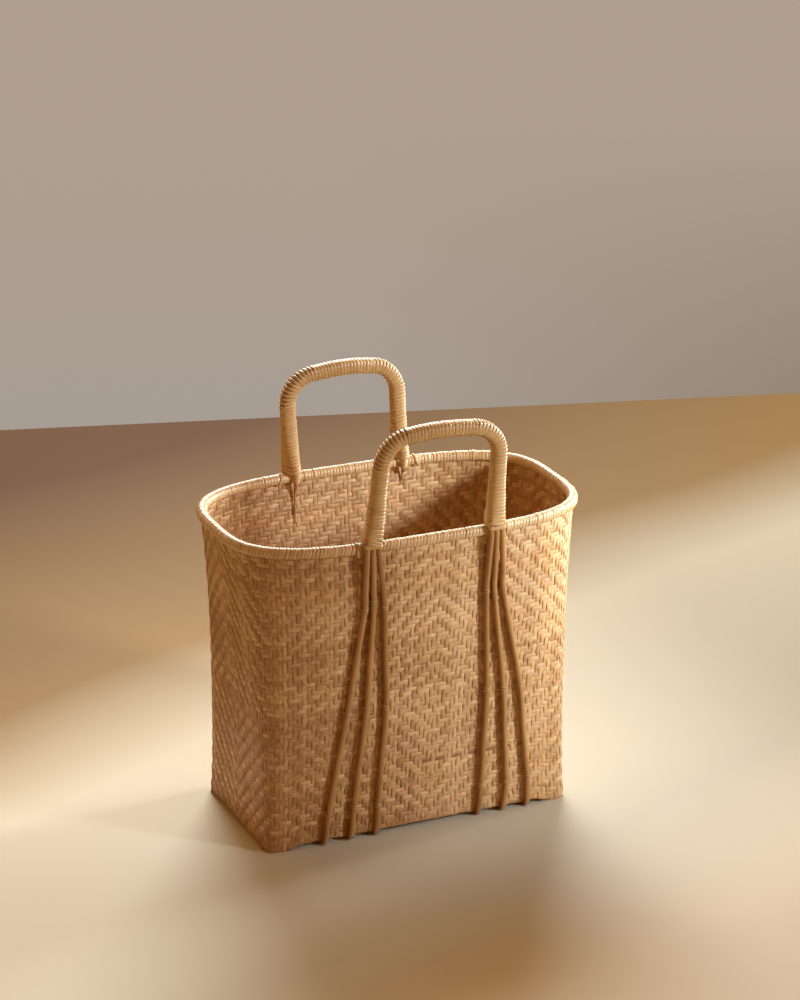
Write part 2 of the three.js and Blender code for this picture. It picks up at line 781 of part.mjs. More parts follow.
add('woven_body', wovenBody(), 'weave');
add('rim_outer_hoop', hoop(clearance, rimOutside), 'hoop');
add('rim_inner_hoop', hoop(rimInside, -wallThickness - clearance), 'hoop');
add('rim_top_cane', topCane(), 'cane');
add('rim_binding', rimBinding(), 'strip');

for (const [name, handle] of Object.entries(handles)) {
  const grip = gripOf(handle);
  caneNames.forEach((caneName, index) => {
    add(`${name}_handle_${caneName}_cane`, handleCane(handle, grip, index, legWay), 'cane');
  });
  add(`${name}_handle_core`, handleCane(handle, grip, coreIndex, tailWay), 'cane');
  add(`${name}_handle_binding`, handleBinding(grip), 'strip');
  for (const leg of Object.keys(legSigns)) {
    add(`${name}_${leg}_foot_wrap`, footWrap(handle, leg), 'strip');
    add(`${name}_${leg}_rim_lashing`, rimLashing(handle, leg), 'strip');
    for (const row of tieRows) {
      caneNames.forEach((caneName, index) => {
        add(`${name}_${leg}_${caneName}_tie_${row.name}`, caneTie(handle, leg, index, row), 'tie');
      });
    }
  }
}

export default basket;
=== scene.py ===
"""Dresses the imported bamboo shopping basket: woven walls, bound rim, cane handles and ties."""

import logging
import math
from dataclasses import dataclass
from enum import Enum

import bmesh
import bpy
import numpy as np
from mathutils import Matrix, Vector


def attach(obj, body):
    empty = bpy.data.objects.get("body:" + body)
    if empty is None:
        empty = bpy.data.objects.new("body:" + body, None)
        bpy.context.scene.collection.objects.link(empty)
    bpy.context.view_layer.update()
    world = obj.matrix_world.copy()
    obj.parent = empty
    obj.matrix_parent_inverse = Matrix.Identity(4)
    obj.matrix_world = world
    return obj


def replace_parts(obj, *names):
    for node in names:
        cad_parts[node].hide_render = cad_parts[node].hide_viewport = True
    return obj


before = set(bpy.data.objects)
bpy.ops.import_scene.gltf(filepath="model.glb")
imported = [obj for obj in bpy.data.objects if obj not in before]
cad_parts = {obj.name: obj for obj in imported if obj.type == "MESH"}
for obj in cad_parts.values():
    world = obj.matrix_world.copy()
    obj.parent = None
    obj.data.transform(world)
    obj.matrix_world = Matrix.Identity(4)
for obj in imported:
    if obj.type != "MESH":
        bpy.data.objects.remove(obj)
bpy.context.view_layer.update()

Array = np.ndarray
Socket = bpy.types.NodeSocket
MM = 0.001
TINY = 1e-12
UP = np.array([0.0, 0.0, 1.0])
BODY = "root"
LOG = logging.getLogger("basket")


class Slot(Enum):
    """Material slots of the record."""

    WEAVE = "weave"
    HOOP = "hoop"
    CANE = "cane"
    STRIP = "strip"
    TIE = "tie"


class Leg(Enum):
    """The two legs of a handle, with the sign of their place along X."""

    LEFT = -1
    RIGHT = 1


def unit(vectors: Array) -> Array:
    """Returns vectors along the last axis at length one."""
    return vectors / np.maximum(np.linalg.norm(vectors, axis=-1, keepdims=True), TINY)


def smooth(value: Array) -> Array:
    """Returns a soft step from 0 to 1."""
    t = np.clip(value, 0.0, 1.0)
    return t * t * (3 - 2 * t)


def distances(points: Array) -> Array:
    """Returns how far each point lies along its line, which runs down the second last axis."""
    steps = np.linalg.norm(np.diff(points, axis=-2), axis=-1)
    return np.concatenate([np.zeros_like(steps[..., :1]), np.cumsum(steps, axis=-1)], axis=-1)


def square_to(run: Array, hint: Array) -> Array:
    """Returns directions of length one that are square to runs and near to their hints."""
    hint = np.broadcast_to(hint, run.shape)
    return unit(hint - run * (run * hint).sum(axis=-1, keepdims=True))


def sideways(out: Array) -> Array:
    """Returns level directions square to level ones."""
    return np.stack([-out[..., 1], out[..., 0], np.zeros(out.shape[:-1])], axis=-1)


def twill(steps: Array) -> Array:
    """Returns 1 where a twill of two over and two under passes over, and -1 elsewhere."""
    return np.where(steps % 4 < 2, 1.0, -1.0)


def spline(points: Array, per_span: int) -> Array:
    """Runs a smooth line through points.

    Args:
        points: One row for each point.
        per_span: Samples between two points.

    Returns:
        Rows of the smooth line, its two ends included.
    """
    padded = np.concatenate([2 * points[:1] - points[1:2], points, 2 * points[-1:] - points[-2:-1]])
    rows = []
    for i in range(len(points) - 1):
        p0, p1, p2, p3 = padded[i:i + 4]
        for t in np.arange(per_span) / per_span:
            rows.append(0.5 * (2 * p1 + (p2 - p0) * t + (2 * p0 - 5 * p1 + 4 * p2 - p3) * t ** 2
                               + (3 * p1 - p0 - 3 * p2 + p3) * t ** 3))
    rows.append(points[-1])
    return np.array(rows)


def rounded(outline: Array, passes: int) -> Array:
    """Cuts the corners of closed outlines at a quarter of each side.

    Args:
        outline: Points along the second last axis.
        passes: How often the corners are cut; each pass doubles the points.

    Returns:
        The rounded outlines.
    """
    near, far = 0.75, 0.25
    for _ in range(passes):
        after = np.roll(outline, -1, axis=-2)
        pair = np.stack([near * outline + far * after, far * outline + near * after], axis=-2)
        outline = pair.reshape(*outline.shape[:-2], -1, 2)
    return outline


@dataclass(frozen=True)
class Section:
    """Cross-section of a strip or cane: [across, out] in shares of its width and thickness.

    pith_and_shade is how much darker the strip's inner side is: partly the bamboo's duller pith, partly
    painted shade for the dimmer inside of the basket.
    """

    points: tuple
    width: float
    thickness: float
    pith_and_shade: float = 0.0

    def table(self) -> Array:
        """Returns the points in millimetres."""
        return np.array(self.points) * (self.width, self.thickness)

    def shade(self) -> Array:
        """Returns how much darker each point is than the strip's outer side."""
        # Darker inner side: partly the pith, partly painted shade on the basket's inside.
        return self.pith_and_shade * np.clip(-2 * np.array(self.points)[:, 1], 0, 1)

    def edges(self) -> Array:
        """Returns how near each point is to the strip's edge, from 0 to 1."""
        across = np.abs(np.array(self.points)[:, 0])
        return across / across.max()


LENS = ((-0.5, 0.0), (-0.34, 0.5), (0.34, 0.5), (0.5, 0.0), (0.34, -0.5), (-0.34, -0.5))
CROWNED = ((-0.5, -0.5), (-0.45, 0.1), (-0.2, 0.5), (0.2, 0.5), (0.45, 0.1), (0.5, -0.5))
FLAT = ((-0.5, -0.5), (-0.49, 0.26), (-0.26, 0.5), (0.26, 0.5), (0.49, 0.26), (0.5, -0.5))
ROUND_SIDES = 12
ROUND = tuple((0.5 * math.cos(2 * math.pi * k / ROUND_SIDES), 0.5 * math.sin(2 * math.pi * k / ROUND_SIDES))
              for k in range(ROUND_SIDES))


class Wiring:
    """Adds nodes to a shader tree, with their inputs linked or set."""

    NOISE_ROUGHNESS = 0.6

    def __init__(self, tree: bpy.types.NodeTree) -> None:
        """Keeps the nodes of a shader tree and its way of linking."""
        self.nodes = tree.nodes
        self.link = tree.links.new

    def put(self, socket: Socket, value: object) -> None:
        """Links an input, or sets it.

        Args:
            socket: The input.
            value: An output to link, or else a number or a colour.
        """
        if isinstance(value, Socket):
            self.link(value, socket)
        else:
            socket.default_value = value

    def add(self, kind: str, inputs: dict, **settings: object) -> bpy.types.Node:
        """Adds a node.

        Args:
            kind: Its type, without the words that all types start with.
            inputs: Outputs, numbers or colours, by the name or place of its inputs.
            **settings: Its other values.

        Returns:
            The node.
        """
        node = self.nodes.new(f"ShaderNode{kind}")
        for name, value in settings.items():
            setattr(node, name, value)
        for name, value in inputs.items():
            self.put(node.inputs[name], value)
        return node

    def maths(self, kind: str, first: object, second: object, third: object = 0.0) -> Socket:
        """Returns the result of an operation on outputs or numbers."""
        return self.add("Math", {0: first, 1: second, 2: third}, operation=kind).outputs[0]

    def mix(self, kind: str, share: object, first: object, second: object) -> Socket:
        """Returns a mix of two colours, with the share of the second one."""
        inputs = {0: share, 6: first, 7: second}
        return self.add("Mix", inputs, data_type="RGBA", blend_type=kind).outputs[2]

    def span(self, value: Socket, given: tuple, wanted: tuple = (0.0, 1.0)) -> Socket:
        """Returns a value moved from one range to another and kept inside it."""
        inputs = {"Value": value, "From Min": given[0], "From Max": given[1],
                  "To Min": wanted[0], "To Max": wanted[1]}
        return self.add("MapRange", inputs).outputs["Result"]

    def ramp(self, value: Socket, stops: tuple) -> Socket:
        """Turns a value into a colour.

        Args:
            value: The value.
            stops: Pairs of a position and a colour; the first one is at 0.

        Returns:
            The colour.
        """
        node = self.add("ValToRGB", {"Fac": value})
        elements = node.color_ramp.elements
        elements.remove(elements[1])
        for position, tone in stops:
            stop = elements[0] if position == 0 else elements.new(position)
            stop.color = (*tone, 1)
        return node.outputs["Color"]

    def noise(self, place: Socket, stretch: tuple, detail: float) -> Socket:
        """Returns an uneven pattern, from 0 to 1, on coordinates scaled along each axis."""
        mapping = self.add("Mapping", {"Vector": place, "Scale": stretch})
        return self.add("TexNoise", {"Vector": mapping.outputs["Vector"], "Scale": 1.0,
                                     "Detail": detail, "Roughness": self.NOISE_ROUGHNESS}).outputs["Fac"]


@dataclass(frozen=True)
class Finish:
    """Look of one kind of bamboo strip.

    light and dark are linear colours, tint is how strongly the tints of strips differ, fibre is
    how strongly the fibres show, and bump_depth is in millimetres.
    """

    name: str
    slot: Slot
    light: tuple
    dark: tuple
    tint: float
    roughness: float
    fibre: float
    bump: float
    coat: float
    coat_roughness: float = 0.3
    bump_depth: float = 0.25

    def material(self) -> bpy.types.Material:
        """Makes the finish's material on first use.

        Returns:
            The material.
        """
        found = bpy.data.materials.get(self.name)
        if found:
            return found
        material = bpy.data.materials.new(self.name)
        material.use_nodes = True
        wiring = Wiring(material.node_tree)
        skin = wiring.add("Group", {}, node_tree=BambooSkin.group())
        for name, value in (("Light", (*self.light, 1)), ("Dark", (*self.dark, 1)),
                            ("Tint", self.tint), ("Fibre", self.fibre),
                            ("Roughness", self.roughness)):
            wiring.put(skin.inputs[name], value)
        for name in ("tone", "hue", "edge"):
            reader = wiring.add("Attribute", {}, attribute_name=name)
            wiring.put(skin.inputs[name.capitalize()], reader.outputs["Fac"])
        bump = wiring.add("Bump", {"Strength": self.bump, "Distance": self.bump_depth * MM,
                                   "Height": skin.outputs["Height"]})
        shader = wiring.nodes["Principled BSDF"]
        for name, value in (("Coat Weight", self.coat), ("Coat Roughness", self.coat_roughness),
                            ("Normal", bump.outputs["Normal"]),
                            ("Base Color", skin.outputs["Color"]),
                            ("Roughness", skin.outputs["Roughness"])):
            wiring.put(shader.inputs[name], value)
        return material


class BambooSkin:
    """Shader group for split bamboo: long fibres, blotches, strip tints and darker edges.

    Each pattern has its stretch and its detail, and varies round the middle value. A tint of a
    half leaves a colour as it is, because tinted colours are doubled.
    """

    NAME = "bamboo_skin"
    INPUTS = (("Light", "Color"), ("Dark", "Color"), ("Tint", "Float"), ("Fibre", "Float"),
              ("Roughness", "Float"), ("Tone", "Float"), ("Hue", "Float"), ("Edge", "Float"))
    OUTPUTS = (("Color", "Color"), ("Roughness", "Float"), ("Height", "Float"))
    FIBRES = ((0.05, 1.7, 1.0), 3.0)
    STREAKS = ((0.02, 0.35, 1.0), 1.0)
    BLOTCHES = ((16.0, 16.0, 16.0), 3.0)
    MIDDLE = 0.5
    STREAK_SHARE = 0.5
    BLOTCH_SHARE = 1.1
    ROUGHNESS_SHARE = 0.35
    TINTS = ((0.0, (0.3, 0.17, 0.26)), (0.06, (0.5, 0.36, 0.38)), (0.14, (0.5, 0.5, 0.5)),
             (0.28, (0.5, 0.46, 0.52)), (0.5, (0.52, 0.5, 0.46)), (0.76, (0.56, 0.47, 0.38)),
             (0.9, (0.5, 0.5, 0.47)), (1.0, (0.52, 0.54, 0.4)))
    DOUBLE = (2.0, 2.0, 2.0, 1.0)
    # The strips are darker along their edges.
    EDGE_TONE = (0.42, 0.3, 0.2, 1.0)
    EDGE_SHARE = 0.2
    EDGE_POWER = 4.0

    @classmethod
    def group(cls) -> bpy.types.NodeTree:
        """Makes the shader group on first use.

        Returns:
            The group.
        """
        found = bpy.data.node_groups.get(cls.NAME)
        if found:
            return found
        tree = bpy.data.node_groups.new(cls.NAME, "ShaderNodeTree")
        for way, sockets in (("INPUT", cls.INPUTS), ("OUTPUT", cls.OUTPUTS)):
            for name, kind in sockets:
                tree.interface.new_socket(name, in_out=way, socket_type=f"NodeSocket{kind}")
        cls._wire(tree)
        return tree

    @classmethod
    def _wire(cls, tree: bpy.types.NodeTree) -> None:
        """Adds the group's nodes and links.

        Args:
            tree: The empty group.
        """
        wiring = Wiring(tree)
        maths, mix = wiring.maths, wiring.mix
        given = tree.nodes.new("NodeGroupInput").outputs
        result = tree.nodes.new("NodeGroupOutput").inputs
        place = wiring.add("TexCoord", {}).outputs
        fibre = wiring.noise(place["UV"], *cls.FIBRES)
        streak = wiring.noise(place["UV"], *cls.STREAKS)
        blotch = wiring.noise(place["Object"], *cls.BLOTCHES)
        share = given["Tone"]
        for pattern, strength in ((fibre, given["Fibre"]), (streak, cls.STREAK_SHARE),
                                  (blotch, cls.BLOTCH_SHARE)):
            varied = maths("SUBTRACT", pattern, cls.MIDDLE)
            share = maths("ADD", share, maths("MULTIPLY", varied, strength))
        share.node.use_clamp = True
        colour = mix("MIX", share, given["Dark"], given["Light"])
        tinted = mix("MULTIPLY", 1.0, colour, wiring.ramp(given["Hue"], cls.TINTS))
        doubled = mix("MULTIPLY", 1.0, tinted, cls.DOUBLE)
        colour = mix("MIX", given["Tint"], colour, doubled)
        # Darker along the strips' edges.
        darker_edges = maths("MULTIPLY", maths("POWER", given["Edge"], cls.EDGE_POWER), cls.EDGE_SHARE)
        uneven = maths("MULTIPLY", maths("SUBTRACT", fibre, cls.MIDDLE), cls.ROUGHNESS_SHARE)
        wiring.put(result["Color"], mix("MULTIPLY", darker_edges, colour, cls.EDGE_TONE))
        wiring.put(result["Roughness"], maths("ADD", given["Roughness"], uneven))
        wiring.put(result["Height"], fibre)


WEAVE = Finish("woven_strip", Slot.WEAVE, (0.72, 0.48, 0.235), (0.38, 0.195, 0.067),
               tint=0.6, roughness=0.5, fibre=0.6, bump=0.4, coat=0.05)
# The level strips are paler than the uprights: partly their own tone, partly painted highlight for the
# bright dashes where they catch the light.
LEVEL_PAINTED_HIGHLIGHT = Finish("level_strip", Slot.WEAVE, (0.77, 0.53, 0.27), (0.4, 0.21, 0.075),
               tint=0.6, roughness=0.45, fibre=0.6, bump=0.4, coat=0.08)
MAT = Finish("floor_strip", Slot.WEAVE, (0.5, 0.28, 0.1), (0.25, 0.11, 0.03),
             tint=0.5, roughness=0.6, fibre=0.8, bump=0.5, coat=0.0)
HOOP = Finish("split_hoop", Slot.HOOP, (0.44, 0.25, 0.085), (0.25, 0.12, 0.03),
              tint=0.2, roughness=0.5, fibre=0.8, bump=0.5, coat=0.0)
CANE = Finish("peeled_cane", Slot.CANE, (0.52, 0.285, 0.1), (0.28, 0.125, 0.032),
              tint=0.35, roughness=0.42, fibre=0.5, bump=0.3, coat=0.1)
RIM = Finish("rim_strip", Slot.STRIP, (0.75, 0.53, 0.27), (0.5, 0.31, 0.12),
             tint=0.35, roughness=0.42, fibre=0.5, bump=0.3, coat=0.5)
WRAP = Finish("wrap_strip", Slot.STRIP, (0.67, 0.45, 0.19), (0.44, 0.25, 0.08),
              tint=0.3, roughness=0.45, fibre=0.5, bump=0.3, coat=0.3)
TIE = Finish("tie_strip", Slot.TIE, (0.66, 0.42, 0.19), (0.42, 0.23, 0.08),
             tint=0.3, roughness=0.45, fibre=0.6, bump=0.4, coat=0.05)


class Tubes:
    """Makes one piece out of many equal closed tubes.

    The UV steps keep the patterns of neighbouring tubes apart.
    """

    UV_STEP_ALONG = 613.0
    UV_STEP_ACROSS = 29.0

    @staticmethod
    def template(rings: int, sides: int) -> tuple[bpy.types.Mesh, Array, Array]:
        """Makes one straight tube with closed ends.

        Args:
            rings: Rings of points along it.
            sides: Points of each ring.

        Returns:
            The mesh, and the ring and the side of each of its points.
        """
        depth = 1.0
        bm = bmesh.new()
        bmesh.ops.create_cone(bm, cap_ends=True, cap_tris=False, segments=sides,
                              radius1=1.0, radius2=1.0, depth=depth)
        uprights = [e for e in bm.edges if abs(e.verts[0].co.z - e.verts[1].co.z) > depth / 2]
        bmesh.ops.subdivide_edges(bm, edges=uprights, cuts=rings - 2)
        mesh = bpy.data.meshes.new("template")
        bm.to_mesh(mesh)
        bm.free()
        co = np.zeros(len(mesh.vertices) * 3)
        mesh.vertices.foreach_get("co", co)
        co = co.reshape(-1, 3)
        turn = np.arctan2(co[:, 1], co[:, 0]) / (2 * math.pi) * sides
        ring = np.rint((co[:, 2] / depth + 0.5) * (rings - 1)).astype(int)
        side = np.rint(turn - turn[0]).astype(int) % sides
        return mesh, ring, side

    @classmethod
    def build(cls, name: str, grid: Array, finish: Finish, section: Section, tones: Array,
              hues: Array) -> bpy.types.Object:
        """Makes the piece.

        Args:
            name: The piece's name.
            grid: Points in millimetres, by tube, ring and side.
            finish: Its finish.
            section: The section that gives the strip's edges.
            tones: Lightness of each tube, or of each ring of each tube.
            hues: Tint in the same way, from 0 to 1.

        Returns:
            The object, riding on the basket's body.
        """
        count, rings, sides = grid.shape[:3]
        template, ring, side = cls.template(rings, sides)
        bm = bmesh.new()
        for _ in range(count):
            bm.from_mesh(template)
        mesh = bpy.data.meshes.new(name)
        bm.to_mesh(mesh)
        bm.free()
        bpy.data.meshes.remove(template)
        mesh.vertices.foreach_set("co", (grid[:, ring, side] * MM).ravel())
        cls._attributes(mesh, grid, ring, side, section, tones, hues)
        cls._turn_out(mesh)
        mesh.polygons.foreach_set("use_smooth", np.ones(len(mesh.polygons), bool))
        mesh.materials.append(finish.material())
        mesh.update()
        piece = bpy.data.objects.new(name, mesh)
        bpy.context.scene.collection.objects.link(piece)
        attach(piece, BODY)
        LOG.info("%s: %d tubes, %d faces", name, count, len(mesh.polygons))
        return piece

    @classmethod
    def single(cls, name: str, grid: Array, finish: Finish, section: Section, tone: object,
               hue: float) -> bpy.types.Object:
        """Makes a piece of one tube, from points by ring and side."""
        return cls.build(name, grid[None], finish, section, np.atleast_2d(tone), np.array([hue]))

    @classmethod
    def _attributes(cls, mesh: bpy.types.Mesh, grid: Array, ring: Array, side: Array,
                    section: Section, tones: Array, hues: Array) -> None:
        """Writes tone, hue, edge and a UV map that runs along each tube in millimetres.

        Args:
            mesh: The piece's mesh.
            grid: Its points by tube, ring and side.
            ring: The ring of each point of a tube.
            side: The side of each point of a tube.
            section: The strip's section.
            tones: Lightness by tube, or by tube and ring.
            hues: Tint in the same way.
        """
        count, rings = grid.shape[:2]
        tones, hues = (np.broadcast_to(v.reshape(count, -1), (count, rings)) for v in (tones, hues))
        values = {"tone": tones[:, ring] - section.shade()[side], "hue": hues[:, ring],
                  "edge": np.repeat(section.edges()[side][None], count, axis=0)}
        for name, value in values.items():
            mesh.attributes.new(name, "FLOAT", "POINT").data.foreach_set("value", value.ravel())
        number = np.arange(count)[:, None]
        along = distances(grid.mean(axis=2)) + cls.UV_STEP_ALONG * number
        across = section.table()[:, 0][side] + cls.UV_STEP_ACROSS * number
        corner = np.zeros(len(mesh.loops), np.int32)
        mesh.loops.foreach_get("vertex_index", corner)
        uv = np.stack([along[:, ring].ravel()[corner], across.ravel()[corner]], axis=1)
        mesh.uv_layers.new(name="strip").data.foreach_set("uv", uv.ravel())

    @staticmethod
    def _turn_out(mesh: bpy.types.Mesh) -> None:
        """Turns the faces of a mesh outwards.

        Args:
            mesh: A mesh of closed tubes that all face the same way.
        """
        bm = bmesh.new()
        bm.from_mesh(mesh)
        if bm.calc_volume(signed=True) < 0:
            bmesh.ops.reverse_faces(bm, faces=bm.faces[:])
            bm.to_mesh(mesh)
        bm.free()


def swept(centre: Array, across: Array, out: Array, section: Section,
          width: Array = np.ones(1), thickness: Array = np.ones(1)) -> Array:
    """Runs a section along ways.

    Args:
        centre: Points of the ways, by tube and ring.
        across: Directions of the section's width: one, or one for each point.
        out: Directions of its thickness in the same way.
        section: The section.
        width: Share of its width, by tube and ring where it changes.
        thickness: Share of its thickness in the same way.

    Returns:
        Points by tube, ring and side.
    """
    table = section.table()
    wide = width[..., None, None] * table[:, 0][:, None]
    thick = thickness[..., None, None] * table[:, 1][:, None]
    return centre[..., None, :] + across[..., None, :] * wide + out[..., None, :] * thick


@dataclass(frozen=True)
class WallShape:
    """Shape of the basket's wall, in millimetres.

    Its outline at each height is a superellipse whose power, the squareness, falls from the base
    to the rim and is highest at the foot. The hollow under the floor starts at the foot's width
    from the edge and rises over the ramp.
    """

    half_length: float = 153.0
    half_width: float = 77.5
    top: float = 294.4
    flare_top: float = 286.0
    end_flare: float = 18.0
    end_power: float = 3.0
    side_flare: float = 21.5
    side_power: float = 1.4
    base_squareness: float = 16.0
    rim_squareness: float = 3.3
    foot_squareness: float = 10.0
    foot_fade: float = 15.0
    thickness: float = 2.4
    arch: float = 4.4
    arch_width: float = 1.5
    foot: float = 18.0
    ramp: float = 16.0
    quarter_samples: int = 481
    girth_samples: int = 2001
    nearest_corner: float = 0.999

    def plan(self, z: Array) -> tuple[Array, Array, Array]:
        """Gives the outline at heights.

        Args:
            z: The heights.

        Returns:
            Half length, half width and squareness.
        """
        rise = np.clip(z / self.flare_top, 0.0, 1.0)
        power = (self.base_squareness ** (1 - rise) * self.rim_squareness ** rise
                 + self.foot_squareness * np.exp(-np.maximum(z, 0.0) / self.foot_fade))
        return (self.half_length + self.end_flare * rise ** self.end_power,
                self.half_width + self.side_flare * rise ** self.side_power, power)

    @staticmethod
    def normal(x: Array, y: Array, plan: tuple[Array, Array, Array]) -> Array:
        """Returns outward directions [x, y] of the outline at points x, y."""
        length, width, power = plan
        return unit(np.stack([np.sign(x) * np.abs(x / length) ** (power - 1) / length,
                              np.sign(y) * np.abs(y / width) ** (power - 1) / width], axis=-1))

    def front(self, side: int, x: Array, z: Array, offset: Array) -> Array:
        """Finds points of the front or back wall, moved out by an offset.

        Args:
            side: -1 for the front, 1 for the back.
            x: Places along X.
            z: Heights.
            offset: Distances off the wall.

        Returns:
            The points.
        """
        x, z, offset = np.broadcast_arrays(*(np.asarray(v, float) for v in (x, z, offset)))
        plan = self.plan(z)
        y = side * plan[1] * (1 - np.abs(x / plan[0]) ** plan[2]) ** (1 / plan[2])
        normal = self.normal(x, y, plan)
        return np.stack([x + normal[..., 0] * offset, y + normal[..., 1] * offset, z], axis=-1)

    def ring(self, z: float, quarters: Array) -> tuple[Array, Array]:
        """Walks round the outline at a height.

        Args:
            z: The height.
            quarters: Places round it, in quarters from the middle of the front.

        Returns:
            Points [x, y] and outward directions [x, y].
        """
        plan = self.plan(np.float64(z))
        angle = np.linspace(0, math.pi / 2, self.quarter_samples)
        cosine = np.cos(angle)
        cosine[-1] = 0.0
        power = 2 / plan[2]
        line = np.stack([plan[0] * np.sin(angle) ** power, plan[1] * cosine ** power], axis=-1)
        reach = distances(line)
        corner = np.floor(quarters).astype(int) % 4
        part = quarters - np.floor(quarters)
        goal = np.where(corner % 2 == 0, part, 1 - part) * reach[-1]
        x = np.interp(goal, reach, line[:, 0]) * np.where(corner < 2, 1, -1)
        y = np.interp(goal, reach, line[:, 1]) * np.where((corner == 0) | (corner == 3), -1, 1)
        return np.stack([x, y], axis=-1), self.normal(x, y, plan)

    def girth(self, z: float) -> float:
        """Returns the length round the wall at a height."""
        points = self.ring(z, np.linspace(0, 4, self.girth_samples))[0]
        return float(distances(points)[-1])

    def floor_reach(self, places: Array, across: bool, edge: float) -> Array:
        """Finds how far the floor reaches either way from the middle.

        Args:
            places: Places along X where it is measured along Y, or the other way about.
            across: Whether it is measured along Y.
            edge: Margin left inside the outline.

        Returns:
            The reach at each place.
        """
        length, width, power = self.plan(np.float64(0))
        near, far = (length - edge, width - edge) if across else (width - edge, length - edge)
        share = np.minimum(np.abs(places) / near, self.nearest_corner)
        return far * (1 - share ** power) ** (1 / power)

    def underside(self, x: Array, y: Array) -> Array:
        """Gives the hollow under the floor.

        Args:
            x: Places along X.
            y: Places along Y.

        Returns:
            Heights of the hollow.
        """
        along = smooth((self.half_length - self.foot - np.abs(x)) / self.ramp)
        over = smooth((self.half_width - self.foot - np.abs(y)) / self.ramp)
        return self.arch * along + self.arch_width * over


WALL = WallShape()


